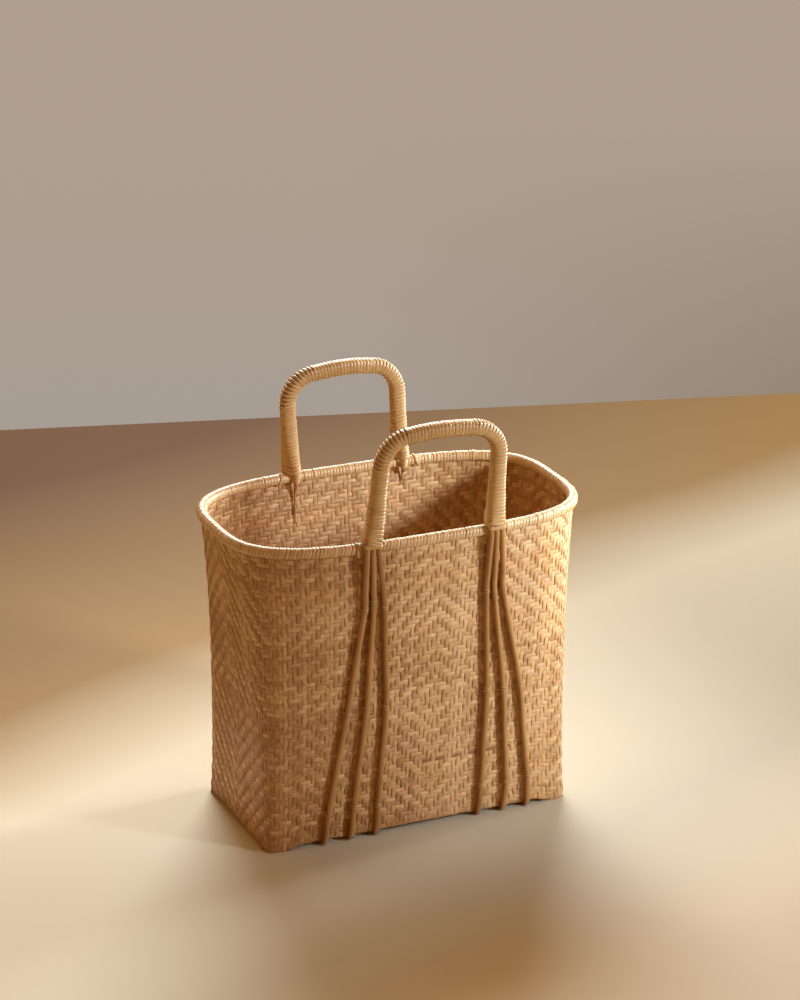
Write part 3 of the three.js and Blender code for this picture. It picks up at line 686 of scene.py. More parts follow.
@dataclass
class WovenBody:
    """Walls and floor woven from upright and level bamboo strips in a twill of diamonds.

    Widths and tones have pairs of spreads, from strip to strip and from place to place along a
    strip. Lift, sway and drift are spreads too: off the wall, to the side, and to the side in
    steps that add up. floor_last is the least distance of a crossing from the end of its strip.
    painted_shade is painted shade: how much darker the strips are at the lower left, where the
    basket gets less light, from painted_shade_edge on, and painted_shade_fade the share of it that
    is gone at the top.
    """

    columns: int = 208
    rows: int = 67
    top: float = 293.0
    middle: float = -1.3
    front_column: int = 2
    corner_column: int = 34
    diamond_height: float = 129.0
    # The last values darken the strips' inner sides: partly pith, partly painted shade inside the basket.
    upright: Section = Section(LENS, 4.4, 1.05, 0.34)
    level: Section = Section(LENS, 4.7, 0.9, 0.26)
    upright_out: float = 0.52
    upright_in: float = 0.19
    level_out: float = 0.16
    level_in: float = 0.2
    between_share: float = 1.12
    over_share: float = 0.84
    upright_lift: float = 0.06
    upright_sway: float = 0.22
    drift: float = 0.05
    drift_limit: float = 0.5
    upright_widths: tuple = (0.06, 0.03)
    upright_tone: float = 0.55
    upright_tones: tuple = (0.2, 0.12)
    upright_hues: tuple = (0.1, 1)
    level_lift: float = 0.05
    level_sway: float = 0.16
    level_widths: tuple = (0.05, 0.03)
    # Higher than upright_tone: partly painted highlight on the level strips.
    level_tone: float = 0.66
    level_tones: tuple = (0.16, 0.14)
    level_hues: tuple = (0.14, 1)
    floor_pitch: float = 4.6
    floor_middle: float = 1.25
    floor_wave: float = 0.5
    floor_edge: float = 1.6
    floor_last: float = 0.1
    floor_tone: tuple = (0.5, 0.2)
    clearance: float = 0.1
    # Painted shade: the strips are darkened towards the lower left and the bottom, where the basket gets
    # less light.
    painted_shade: float = 0.48
    painted_shade_fade: float = 0.5
    painted_shade_edge: float = 60.0
    painted_shade_reach: float = 190.0
    dark_row: int = 14
    dark_columns: tuple = (0, 27)
    dark_tone: float = 0.1
    seed: int = 7

    def __post_init__(self) -> None:
        """Lays out the grid of crossings."""
        self.random = np.random.default_rng(self.seed)
        quarters = 4 * np.arange(2 * self.columns) / (2 * self.columns)
        heights = np.linspace(0, self.top, 2 * self.rows + 1)
        spots = [WALL.ring(z, quarters) for z in heights]
        plane = np.array([points for points, _ in spots])
        self.out = np.array([np.pad(normal, ((0, 0), (0, 1))) for _, normal in spots])
        lift = WALL.underside(plane[0, :, 0], plane[0, :, 1])
        z = heights[:, None] + lift * (1 - heights[:, None] / self.top)
        self.grid = np.concatenate([plane, z[..., None]], axis=2)

    def _over(self) -> Array:
        """Lays out the twill, whose diagonals turn at the columns and the height of the diamonds.

        Returns:
            1 where an upright strip passes outside a level one, and -1 elsewhere.
        """
        quarter, corner = self.columns // 4, self.corner_column
        turns = {self.front_column: 1, corner: -1, quarter: 1, 2 * quarter - corner: -1,
                 2 * quarter: 1, 2 * quarter + corner: -1, 3 * quarter: 1, 4 * quarter - corner: -1}
        value, sign, values = 0, -1, []
        for column in range(self.columns):
            sign = turns.get(column, sign)
            values.append(value)
            value += sign
        level = np.abs(np.arange(self.rows) - round(self.diamond_height / self.top * self.rows))
        return twill(np.array(values)[:, None] + level)

    def _wave(self, over: Array, outside: float, inside: float, closed: bool) -> Array:
        """Turns overs and unders into distances off the wall's middle.

        Args:
            over: 1 or -1 for each strip and crossing.
            outside: How far an over stands out.
            inside: How far an under lies in.
            closed: Whether the last crossing meets the first.

        Returns:
            Distances at the edges and middles of the crossings.
        """
        before = np.roll(over, 1, axis=1) if closed else np.pad(over, ((0, 0), (1, 0)), "edge")
        after = over if closed else np.pad(over, ((0, 0), (0, 1)), "edge")
        wave = np.zeros((len(over), over.shape[1] * 2 + (0 if closed else 1)))
        wave[:, 0::2] = (before + after) / 2 * self.between_share
        wave[:, 1::2] = over * self.over_share
        return np.where(wave > 0, wave * outside, wave * inside)

    def _varied(self, middle: float, spreads: tuple, shape: tuple) -> Array:
        """Draws values by strip and place, with a spread from strip to strip and one along it."""
        by_strip = self.random.normal(middle, spreads[0], (shape[0], 1))
        return by_strip + self.random.normal(0, spreads[1], shape)

    def _painted_shade(self, places: Array) -> Array:
        """Returns how much painted shade darkens the strips at points [x, y, z]."""
        left = smooth((self.painted_shade_edge - places[..., 0]) / self.painted_shade_reach)
        return self.painted_shade * left * (1 - self.painted_shade_fade * places[..., 2] / self.top)

    def _uprights(self, over: Array) -> None:
        """Makes the upright strips, in a front and a back piece.

        Args:
            over: The twill.
        """
        index = (2 * np.arange(self.columns) + 1) % (2 * self.columns)
        place = self.grid[:, index].transpose(1, 0, 2)
        out = self.out[:, index].transpose(1, 0, 2)
        across = sideways(out)
        offset = self.middle + self._wave(over, self.upright_out, self.upright_in, False)
        shape = offset.shape
        sway = self.random.normal(0, self.upright_sway, shape)
        drift = np.cumsum(self.random.normal(0, self.drift, shape), axis=1)
        drift -= np.linspace(0, 1, shape[1]) * drift[:, -1:]
        sway += np.clip(drift, -self.drift_limit, self.drift_limit)
        offset = offset + self.random.normal(0, self.upright_lift, shape)
        centre = place + out * offset[..., None] + across * sway[..., None]
        width = self._varied(1, self.upright_widths, shape)
        # Painted shade darkens the uprights towards the lower left.
        tones = self._varied(self.upright_tone, self.upright_tones, shape) - self._painted_shade(place)
        hues = self.random.uniform(*self.upright_hues, self.columns)
        grid = swept(centre, across, out, self.upright, width)
        quarter = self.columns // 4
        halves = {"front": np.r_[3 * quarter:self.columns, 0:quarter],
                  "back": np.arange(quarter, 3 * quarter)}
        for name, chosen in halves.items():
            piece = Tubes.build(f"uprights_{name}", grid[chosen], WEAVE, self.upright,
                                tones[chosen], hues[chosen])
            if name == "front":
                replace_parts(piece, "woven_body")

    def _levels(self, over: Array) -> None:
        """Makes the level strips, in a lower and an upper piece.

        Each one starts and ends at the middle of the back.

        Args:
            over: The twill.
        """
        place = self.grid[1::2]
        out = self.out[1::2]
        rise = unit(self.grid[2::2] - self.grid[:-2:2])
        offset = self.middle + self._wave(-over.T, self.level_out, self.level_in, True)
        centre = place + out * (offset + self.random.normal(0, self.level_lift, offset.shape))[..., None]
        centre += rise * self.random.normal(0, self.level_sway, offset.shape)[..., None]
        back = self.columns
        centre, rise, out = (np.concatenate([v[:, back:], v[:, :back + 1]], axis=1)
                             for v in (centre, rise, out))
        shape = centre.shape[:2]
        width = self._varied(1, self.level_widths, shape)
        # Painted shade darkens the level strips towards the lower left.
        tones = self._varied(self.level_tone, self.level_tones, shape) - self._painted_shade(centre)
        hues = np.repeat(self.random.uniform(*self.level_hues, (self.rows, 1)), shape[1], axis=1)
        dark = slice(*(back + 2 * column for column in self.dark_columns))
        hues[self.dark_row, dark], tones[self.dark_row, dark] = 0.0, self.dark_tone
        grid = swept(centre, rise, out, self.level, width)
        grid[..., 2] = np.maximum(grid[..., 2], self.clearance)
        half = self.rows // 2
        for name, chosen in {"lower": slice(0, half), "upper": slice(half, None)}.items():
            Tubes.build(f"levels_{name}", grid[chosen], LEVEL_PAINTED_HIGHLIGHT, self.level, tones[chosen], hues[chosen])

    def _floor(self) -> None:
        """Makes the floor's strips, one piece for each way that they run."""
        xs, ys = (self._floor_places(half) for half in (WALL.half_length, WALL.half_width))
        over = twill(np.arange(len(xs))[:, None] + np.arange(len(ys)))
        for name, fixed, moving, signs in (("cross", xs, ys, over), ("long", ys, xs, -over.T)):
            crosses = name == "cross"
            limit = WALL.floor_reach(fixed, crosses, self.floor_edge)[:, None]
            sign = np.pad(signs, ((0, 0), (1, 1)), "edge")
            a = np.broadcast_to(fixed[:, None], sign.shape)
            inner = np.clip(np.broadcast_to(moving, signs.shape), -limit + self.floor_last,
                            limit - self.floor_last)
            b = np.concatenate([-limit, inner, limit], axis=1)
            x, y = (a, b) if crosses else (b, a)
            z = WALL.underside(x, y) + self.floor_middle + self.floor_wave * sign
            across = np.array([1.0, 0, 0] if crosses else [0, 1.0, 0])
            grid = swept(np.stack([x, y, z], axis=-1), across, UP, self.level)
            Tubes.build(f"floor_{name}", grid, MAT, self.level,
                        self.random.normal(*self.floor_tone, len(fixed)),
                        self.random.uniform(0, 1, len(fixed)))

    def _floor_places(self, half: float) -> Array:
        """Returns the middles of the floor's strips over a length that is given by its half."""
        count = round(2 * half / self.floor_pitch)
        return (np.arange(count) + 0.5 - count / 2) * self.floor_pitch

    def build(self) -> None:
        """Makes the walls and the floor."""
        over = self._over()
        self._uprights(over)
        self._levels(over)
        self._floor()


@dataclass
class Rim:
    """Hoops, top cane and the slanting turns of strip that bind them to the wall.

    widths holds the spread from turn to turn and along a turn, and tones a middle and a spread.
    outline holds [offset, height] points round the binding. A turn slants on the outer face, from
    face_foot on over face_height, and runs straight over the crest and down the inside. Its
    last_rings lead back to its start.
    """

    turns: int = 288
    slant: float = 2.0
    face_foot: float = 290.5
    face_height: float = 7.5
    crest: float = -1.3
    last_rings: int = 4
    turn_spread: float = 0.05
    widths: tuple = (0.05, 0.02)
    lift: float = 0.09
    tones: tuple = (0.6, 0.12)
    hues: tuple = (0.1, 1)
    hoop_gap: float = 0.3
    hoop: tuple = (1.9, 3.4)
    hoop_rise: float = 0.4
    hoop_ends: tuple = (0.5, 4.5)
    hoop_rings: int = 241
    hoop_tone: float = 0.5
    hoop_hue: float = 0.4
    top_cane: float = 2.8
    strip: Section = Section(FLAT, 3.3, 0.75)
    outline: tuple = ((-1.2, 291.2), (1.5, 291.0), (2.8, 291.7), (3.35, 293.0), (3.4, 294.7),
                      (3.1, 296.5), (2.2, 298.1), (0.7, 299.2), (-1.3, 299.6), (-3.3, 299.1),
                      (-4.7, 297.7), (-5.5, 295.9), (-5.7, 294.1), (-5.4, 292.6), (-4.6, 291.6),
                      (-3.0, 291.2), (-1.2, 291.2))
    samples: int = 2
    seed: int = 11

    def build(self) -> None:
        """Makes the rim's pieces."""
        rng = np.random.default_rng(self.seed)
        outline = spline(np.array(self.outline), self.samples)
        tangent = unit(np.gradient(outline, axis=0))
        facing = np.stack([tangent[:, 1], -tangent[:, 0]], axis=1)
        on_face = np.clip((outline[:, 1] - self.face_foot) / self.face_height, 0, 1) - 0.5
        shift = np.where(outline[:, 0] > self.crest, on_face, 0.5) * self.slant
        shift[-self.last_rings:] = -0.5 * self.slant
        turn = np.arange(self.turns) + rng.normal(0, self.turn_spread, self.turns)
        quarters = (4 * turn / self.turns)[:, None] + shift * 4 / WALL.girth(WALL.top)
        centre, across, normal = self._spots(quarters, outline)
        out = normal * facing[:, :1] + UP * facing[:, 1:]
        width = rng.normal(1, self.widths[0], (self.turns, 1))
        width = width + rng.normal(0, self.widths[1], quarters.shape)
        lift = rng.normal(0, self.lift, (self.turns, 1, 1))
        grid = swept(centre + out * lift, across, out, self.strip, width)
        piece = Tubes.build("rim_turns", grid, RIM, self.strip, rng.normal(*self.tones, self.turns),
                            rng.uniform(*self.hues, self.turns))
        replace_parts(piece, "rim_binding")
        self._hoops()

    @staticmethod
    def _spots(quarters: Array, outline: Array) -> tuple[Array, Array, Array]:
        """Places [offset, height] points round the rim.

        Args:
            quarters: Places round the rim, by tube and ring.
            outline: Offset and height of each ring, or of each tube and ring.

        Returns:
            Points, directions along the rim and directions out of it.
        """
        plane, normal = WALL.ring(WALL.top, quarters)
        plane, normal = (np.pad(v, ((0, 0), (0, 0), (0, 1))) for v in (plane, normal))
        centre = plane + normal * outline[..., :1] + UP * outline[..., 1:]
        return centre, sideways(normal), normal

    def _hoops(self) -> None:
        """Makes the two hoops and the top cane that the binding holds."""
        thick, high = self.hoop
        middle = WALL.top + self.hoop_rise - high / 2
        out = self.hoop_gap + thick / 2
        flat = Section(LENS, high, thick)
        cane = Section(ROUND, self.top_cane, self.top_cane)
        on_top = WALL.top + self.hoop_gap + self.top_cane / 2
        quarters = np.linspace(*self.hoop_ends, self.hoop_rings)[None]
        pieces = (("rim_outer_hoop", (out, middle), HOOP, flat),
                  ("rim_inner_hoop", (-WALL.thickness - out, middle), HOOP, flat),
                  ("rim_top_cane", (-WALL.thickness / 2, on_top), CANE, cane))
        for node, place, finish, section in pieces:
            centre, _, normal = self._spots(quarters, np.array([place]))
            grid = swept(centre, UP, normal, section)
            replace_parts(Tubes.single(f"{node}_strip", grid[0], finish, section, self.hoop_tone,
                                     self.hoop_hue), node)


CANES = ("outer", "middle", "inner")
CORE = 3


@dataclass(frozen=True)
class CaneRoutes:
    """Where the canes lie, in millimetres, close to their places on the solids.

    rows holds, for each row of ties from the top down, its height, the step of its middle tie
    and the places of the left and the right leg's canes. across, away, shoulders and backs hold
    values at the distances ups over the start of a leg: a cane's place across the leg, the share
    of its way out to its place at the rim, and how the binding narrows towards its back.
    """

    diameter: float = 5.4
    gap: float = 0.3
    pitch: float = 5.6
    flat: float = 3.4
    flat_rounding: float = 8.0
    rows: tuple = ((235.0, 8.0, (-65, -56.5, -46), (55, 63, 72)),
                   (133.0, 2.0, (-78, -59.5, -40), (61, 78, 95)),
                   (33.0, 2.0, (-94, -69, -45), (60, 86, 108)))
    row_names: tuple = ("upper", "middle", "lower")
    left_feet: tuple = (-97, -71.5, -46.5)
    right_feet: tuple = (58, 84, 109)
    last_share: float = 0.64
    rim_to_tie: tuple = ((291.0, 0, 1), (272.0, 0.35, 0.6), (253.0, 0.75, 0.17))
    edge_bend: tuple = ((1.07, 1.85), (0.85, 0.52), (-0.19, 0.04), (-2.2, 0))
    end: float = 0.5
    tail: tuple = ((288.0, 0.9, 0.8), (279.0, 0.3, 0.42), (266.0, 0.1, 0.3), (250.0, 0, 0.22))
    short_share: float = 0.3
    rim_offset: float = 7.1
    core_offset: float = -9.1
    leg_offset: float = 1.35
    leg_start: float = 303.5
    ups: tuple = (0, 9, 18, 27, 37, 47)
    shoulders: tuple = (0.3, 0.36, 0.5, 0.64, 0.73, 0.75)
    backs: tuple = (0.46, 0.47, 0.48, 0.46, 0.42, 0.38)
    across: tuple = ((0.98, 0.84, 0.7, 0.6, 0.54, 0.52), (0, 0.05, 0.2, 0.35, 0.48, 0.52),
                     (-0.98, -0.84, -0.7, -0.6, -0.54, -0.52), (0, -0.1, -0.24, -0.44, -0.52, -0.52))
    away: tuple = ((1, 0.72, 0.44, 0.22, 0.07, 0), (1, 0.7, 0.36, 0.15, 0.04, 0),
                   (1, 0.72, 0.44, 0.22, 0.07, 0), (1, 0.72, 0.42, 0.22, 0.07, 0))
    sides: tuple = (0.5, -0.5, 0.5, -0.5)
    swell: float = 0.75
    swell_reach: float = 30.0
    corner_cut: float = 3.5
    joint_step: float = 150.0
    joint_first: tuple = (20, 120)
    joint_swell: float = 0.025
    joint_length: float = 1.6

    @property
    def radius(self) -> float:
        """Radius of a cane."""
        return self.diameter / 2

    @property
    def on_wall(self) -> float:
        """Offset of a cane that lies on the wall."""
        return self.gap + self.radius

    @property
    def section(self) -> Section:
        """Section of a cane."""
        return Section(ROUND, self.diameter, self.diameter)

    def bundle(self, up: Array) -> Array:
        """Places the four canes at distances up a leg.

        Args:
            up: The distances.

        Returns:
            [across, out] by cane and distance.
        """
        rows = []
        for cane, side in enumerate(self.sides):
            across = np.interp(up, self.ups, self.across[cane]) * self.pitch
            share = np.interp(up, self.ups, self.away[cane])
            foot = (self.core_offset if cane == CORE else self.rim_offset) - self.leg_offset
            grip = side * self.diameter
            rows.append(np.stack([across, grip + (foot - grip) * share], axis=-1))
        return np.array(rows)

    def outline(self, up: Array, grow: float) -> Array:
        """Draws a line round the bundle at distances up a leg.

        Args:
            up: The distances.
            grow: Room between the canes and the line.

        Returns:
            The line's eight corners, by distance.
        """
        canes = self.bundle(up)
        grow = grow + self.swell * smooth(np.asarray(up) / self.swell_reach)
        half = np.abs(canes[..., 0]).max(axis=0) + self.radius + grow
        front = canes[..., 1].max(axis=0) + self.radius + grow
        back = canes[..., 1].min(axis=0) - self.radius - grow
        shoulder = front + (back - front) * np.interp(up, self.ups, self.shoulders) - grow / 2
        narrow = np.interp(up, self.ups, self.backs) * half + grow
        cut = self.corner_cut
        corners = ((-half, front - cut), (-half + cut, front), (half - cut, front),
                   (half, front - cut), (half, shoulder), (narrow, back), (-narrow, back),
                   (-half, shoulder))
        return np.stack([np.stack(corner, axis=-1) for corner in corners], axis=-2)


ROUTES = CaneRoutes()


@dataclass
class Handle:
    """One handle: four canes, their binding, foot wraps, lashings and ties.

    pull is how far the tops of the two legs lean along X, and skirt how far the binding runs on
    past each leg's start. Pairs for a lift or a tone hold a middle and a spread. tie_turns holds
    the shift and the slant of each turn, tie_slants the spread of slants, and tie_ends how far in
    from a tie's end its first points lie, with their offsets.
    """

    name: str
    side: int
    half_span: float
    middle: float
    rise: float
    seed: int
    corner: float = 28.0
    crown: float = 2.0
    lean: float = 0.045
    pull: tuple = (0.0, 0.0)
    pull_power: float = 0.65
    leg_rings: int = 40
    corner_rings: int = 24
    arch_rings: int = 16
    grip_rings: int = 281
    cane_share: int = 3
    way_samples: int = 6
    cane_tone: tuple = (0.5, 0.12)
    cane_hues: tuple = (0.45, 0.57, 0.69)
    core_tone: float = 0.5
    core_hue: float = 0.5
    wrap: Section = Section(FLAT, 3.55, 0.7)
    pitch: float = 3.25
    skirt: float = 3.2
    wrap_room: float = 0.35
    wrap_lift: tuple = (0.3, 0.06)
    wrap_tone: tuple = (0.58, 0.12)
    wrap_hue: float = 0.4
    coil_tone: float = 0.5
    stretch: tuple = (0.85, 1.35)
    foot_turns: int = 1
    foot_start: float = 297.2
    foot_room: float = 0.05
    foot_end_points: int = 9
    core_turns: int = 4
    core_start: float = 290.5
    core_room: float = 0.3
    tie: Section = Section(CROWNED, 1.9, 0.4)
    tie_room: float = 0.42
    tie_foot: float = 0.8
    tie_ends: tuple = ((0.0, -1.0), (0.5, 0.2))
    tie_arc: tuple = (200, -20)
    tie_points: int = 13
    tie_turns: tuple = ((-1.0, 0.5), (1.0, -0.3))
    tie_slants: float = 0.25
    tie_tone: tuple = (0.6, 0.15)
    tie_hue: float = 0.45
    lashing: Section = Section(CROWNED, 3.0, 0.6)
    lashing_reach: float = 12.5
    lashing_slant: float = 4.0
    lashing_samples: int = 3
    lashing_tone: float = 0.6
    lashing_hue: float = 0.5
    lashing_way: tuple = ((4.9, 288.8, 0), (4.9, 292, 0), (4.7, 295.6, 0), (3.2, 298.8, 0),
                          (1, 300.2, 0), (-1.2, 300.6, 0.05), (-3.8, 300, 0.15), (-5.9, 298, 0.3),
                          (-7.1, 295, 0.5), (-7, 292.2, 0.75), (-6, 290, 0.95), (-4.2, 289, 1))
    short_tail: bool = False

    def __post_init__(self) -> None:
        """Lays out the grip's middle line."""
        self.random = np.random.default_rng(self.seed)
        self._grip()

    def _grip(self) -> None:
        """Finds places and directions along the grip, from the left leg to the right one."""
        shoulder = WALL.top + self.rise - self.crown
        straight = self.half_span - self.corner
        leg = np.linspace(ROUTES.leg_start, shoulder - self.corner, self.leg_rings)[:-1]
        angle = np.linspace(0, math.pi / 2, self.corner_rings)
        arch = np.linspace(straight, 0, self.arch_rings)[1:]
        reach = np.concatenate([np.full(len(leg), self.half_span),
                                self.half_span - self.corner * (1 - np.cos(angle)), arch])
        height = np.concatenate([leg, shoulder - self.corner * (1 - np.sin(angle)),
                                 shoulder + self.crown * (1 - (arch / straight) ** 2)])
        x = np.concatenate([self.middle - reach, self.middle + reach[-2::-1]])
        z = np.concatenate([height, height[-2::-1]])
        ends = [self.leg_spot(leg)[1] for leg in Leg]
        y = ends[0] + (ends[1] - ends[0]) * (x - self.middle + self.half_span) / (2 * self.half_span)
        y = y + self.side * self.lean * (z - ROUTES.leg_start)
        share = np.clip((x - self.middle) / self.half_span, -1, 1)
        pull = np.where(share < 0, -share * self.pull[0], share * self.pull[1])
        rise = np.clip((z - ROUTES.leg_start) / (shoulder - ROUTES.leg_start), 0, 1)
        at = np.stack([x + pull * rise ** self.pull_power, y, z], axis=-1)
        reach = distances(at)
        self.length = float(reach[-1])
        self.steps = np.linspace(0, self.length, self.grip_rings)
        self.at = np.stack([np.interp(self.steps, reach, at[:, k]) for k in range(3)], axis=-1)
        self.up = np.minimum(self.steps, self.length - self.steps)
        way = unit(np.gradient(self.at, axis=0))
        self.out = square_to(way, np.array([0.0, self.side, 0.0]))
        self.across = self.side * np.cross(way, self.out)

    def leg_x(self, leg: Leg) -> float:
        """Returns the place of a leg along X where it passes the rim."""
        return self.middle + leg.value * self.half_span

    def leg_spot(self, leg: Leg) -> Array:
        """Returns where a leg starts over the rim."""
        return WALL.front(self.side, self.leg_x(leg), WALL.top, ROUTES.leg_offset)

    def _along(self, values: Array, steps: Array) -> Array:
        """Returns directions or places of the grip at distances along it."""
        return np.stack([np.interp(steps, self.steps, values[:, k]) for k in range(3)], axis=-1)

    @staticmethod
    def _places(leg: Leg, cane: int) -> tuple[int, int, float]:
        """Finds where a cane stands in the lists of the routes.

        Args:
            leg: Which leg.
            cane: Which cane of it, from the outer to the inner one.

        Returns:
            The leg's place in a row, the cane's place in the leg's list, and its foot.
        """
        left = leg is Leg.LEFT
        place = cane if left else len(CANES) - 1 - cane
        return (2 if left else 3), place, (ROUTES.left_feet if left else ROUTES.right_feet)[place]

    def wall_way(self, leg: Leg, cane: int) -> Array:
        """Lists a cane's way down the wall.

        Args:
            leg: Which leg.
            cane: Which cane of it, from the outer to the inner one.

        Returns:
            Rows of [x, height, offset].
        """
        column, place, foot = self._places(leg, cane)
        xs = [row[column][place] for row in ROUTES.rows]
        heights = [row[0] for row in ROUTES.rows]
        start = self.leg_x(leg) + leg.value * ROUTES.across[cane][0] * ROUTES.pitch
        lift = ROUTES.rim_offset - ROUTES.on_wall
        way = [(start + (xs[0] - start) * share, z, ROUTES.on_wall + up * lift)
               for z, share, up in ROUTES.rim_to_tie]
        for i, (x, z) in enumerate(zip(xs, heights)):
            way.append((x, z, ROUTES.on_wall))
            if i + 1 < len(xs):
                way.append(((x + xs[i + 1]) / 2, (z + heights[i + 1]) / 2, ROUTES.on_wall))
        way.append((xs[-1] + (foot - xs[-1]) * ROUTES.last_share,
                    heights[-1] * (1 - ROUTES.last_share), ROUTES.on_wall))
        return np.array(way)

    def _leg_way(self, leg: Leg, cane: int) -> Array:
        """Lists a cane's way below the grip, down the wall and on to the middle of the base.

        Args:
            leg: Which leg.
            cane: Which cane of it, from the outer to the inner one.

        Returns:
            Rows of [x, y, z, down, half thickness].
        """
        way = self.wall_way(leg, cane)
        foot = self._places(leg, cane)[2]
        lowest = ROUTES.gap + ROUTES.flat / 2
        rows = [(*p, 0.0) for p in WALL.front(self.side, way[:, 0], way[:, 1], way[:, 2])]
        bends = [(WALL.half_width + out * ROUTES.radius, up * ROUTES.radius)
                 for out, up in ROUTES.edge_bend]
        for reach, rise in (*bends, (WALL.half_width / 2, 0), (ROUTES.end, 0)):
            rows.append((foot, self.side * reach, lowest + rise, 1.0))
        table = spline(np.array(rows), self.way_samples)
        rounding = smooth((table[:, 2] - lowest) / ROUTES.flat_rounding)
        half = ROUTES.flat / 2 + (ROUTES.radius - ROUTES.flat / 2) * rounding
        return np.concatenate([table, half[:, None]], axis=1)

    def _tail_way(self, leg: Leg) -> Array:
        """Lists the way of the core inside the wall.

        Args:
            leg: Which leg.

        Returns:
            Rows of [x, y, z, down, half thickness].
        """
        lift = -ROUTES.core_offset - WALL.thickness - ROUTES.gap - ROUTES.radius
        short = ROUTES.short_share if self.short_tail and leg is Leg.RIGHT else 1.0
        start = ROUTES.tail[0][0]
        rows = []
        for z, away, thick in ROUTES.tail:
            offset = -WALL.thickness - ROUTES.gap - thick * ROUTES.radius - away * lift
            spot = WALL.front(self.side, self.leg_x(leg), start + (z - start) * short, offset)
            rows.append((*spot, 0.0, thick * ROUTES.radius))
        return spline(np.array(rows), self.way_samples)

    def _cane_grid(self, ways: list[Array], cane: int) -> Array:
        """Runs a cane over the grip and down both legs.

        Args:
            ways: The left and the right leg's rows, from the rim down.
            cane: Which cane.

        Returns:
            Points by ring and side.
        """
        place = ROUTES.bundle(self.up)[cane]
        over = self.at + self.across * place[:, :1] + self.out * place[:, 1:]
        grip = np.pad(over, ((0, 0), (0, 2)))
        grip[:, 4] = ROUTES.radius
        table = np.concatenate([ways[0][::-1], grip[::self.cane_share], ways[1]])
        way = unit(np.gradient(table[:, :3], axis=0))
        hint = np.stack([np.zeros(len(table)), np.full(len(table), float(self.side)), -table[:, 3]],
                        axis=-1)
        out = square_to(way, hint)
        reach = distances(table[:, :3])
        joints = np.arange(self.random.uniform(*ROUTES.joint_first), reach[-1], ROUTES.joint_step)
        near = np.exp(-((reach[:, None] - joints) / ROUTES.joint_length) ** 2).sum(axis=1)
        swell = 1 + ROUTES.joint_swell * near
        thick = table[:, 4] / ROUTES.radius
        wide = thick if cane == CORE else (1 + thick) / 2
        return swept(table[:, :3], np.cross(way, out), out, ROUTES.section, wide * swell, thick * swell)

    def _canes(self) -> None:
        """Makes the three outer canes and the core."""
        for cane, name in enumerate(CANES):
            grid = self._cane_grid([self._leg_way(leg, cane) for leg in Leg], cane)
            piece = Tubes.single(f"{self.name}_{name}_cane", grid, CANE, ROUTES.section,
                                 self.random.normal(*self.cane_tone), self.cane_hues[cane])
            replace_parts(piece, f"{self.name}_handle_{name}_cane")
        grid = self._cane_grid([self._tail_way(leg) for leg in Leg], CORE)
        piece = Tubes.single(f"{self.name}_core_cane", grid, CANE, ROUTES.section,
                             self.core_tone, self.core_hue)
        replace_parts(piece, f"{self.name}_handle_core")

    def _binding(self) -> None:
        """Makes the strip that is wound round the grip, in one unbroken coil."""
        length = self.length + 2 * self.skirt
        turns = int(length / self.pitch)
        outline = rounded(ROUTES.outline(self.up, self.wrap_room), 2)
        corners = outline.shape[1]
        ring = np.arange(turns * corners + 1)
        starts = np.arange(0, ring[-1] + corners, corners)
        steps = length * ring / ring[-1] - self.skirt
        last = len(self.steps) - 1
        index = np.clip(np.rint(steps / self.length * last).astype(int), 0, last)
        spot = outline[index, ring % corners]
        ahead = outline[index, (ring + 1) % corners] - outline[index, (ring - 1) % corners]
        facing = unit(np.stack([ahead[:, 1], -ahead[:, 0]], axis=1))
        facing *= np.sign((facing * (spot - outline[index].mean(axis=1))).sum(axis=1, keepdims=True))
        at, across, out = (self._along(v, steps) for v in (self.at, self.across, self.out))
        at[:, 2] += np.minimum(steps, 0) + np.minimum(self.length - steps, 0)
        lift = np.interp(ring, starts, self.random.normal(*self.wrap_lift, turns + 1))
        spot = spot + facing * lift[:, None]
        centre = at + across * spot[:, :1] + out * spot[:, 1:]
        normal = across * facing[:, :1] + out * facing[:, 1:]
        tones = np.interp(ring, starts, self.random.normal(*self.wrap_tone, turns + 1))
        pitch = np.linalg.norm(centre[corners:] - centre[:-corners], axis=1)
        pitch = np.pad(pitch, (corners // 2, corners - corners // 2), "edge")
        width = np.clip(pitch / self.pitch, *self.stretch)
        grid = swept(centre, unit(np.cross(across, out)), normal, self.wrap, width)
        piece = Tubes.single(f"{self.name}_binding_coil", grid, WRAP, self.wrap, tones,
                             self.wrap_hue)
        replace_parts(piece, f"{self.name}_handle_binding")

    def _coil(self, name: str, centre: Array, facing: Array) -> bpy.types.Object:
        """Makes a short level coil.

        Args:
            name: The piece's name.
            centre: Points of its way.
            facing: Directions [across, out] of its outer side.

        Returns:
            The piece.
        """
        normal = np.stack([facing[:, 0], self.side * facing[:, 1], np.zeros(len(facing))], axis=-1)
        grid = swept(centre, UP, normal, self.wrap)
        return Tubes.single(name, grid, WRAP, self.wrap, self.coil_tone, self.wrap_hue)

    def _foot_wrap(self, leg: Leg) -> None:
        """Makes the coil round the three canes outside the rim.

        Args:
            leg: Which leg.
        """
        reach = ROUTES.radius + self.foot_room
        angle = np.radians(np.linspace(-90, 90, self.foot_end_points))
        round_end = np.stack([np.cos(angle), np.sin(angle)], axis=-1)
        end = round_end * reach + [ROUTES.pitch, 0]
        outline = np.concatenate([end, [[0, reach]], end * [-1, -1], [[0, -reach]]])
        facing = np.concatenate([round_end, [[0, 1]], -round_end, [[0, -1]]])
        ring = np.arange(self.foot_turns * len(outline) + 1)
        spot, face = outline[ring % len(outline)], facing[ring % len(outline)]
        centre = WALL.front(self.side, self.leg_x(leg) + spot[:, 0], WALL.top,
                            ROUTES.rim_offset + spot[:, 1])
        centre[:, 2] = self.foot_start + self.pitch * ring / len(outline)
        name = f"{self.name}_{leg.name.lower()}_foot"
        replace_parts(self._coil(f"{name}_coil", centre, face), f"{name}_wrap")

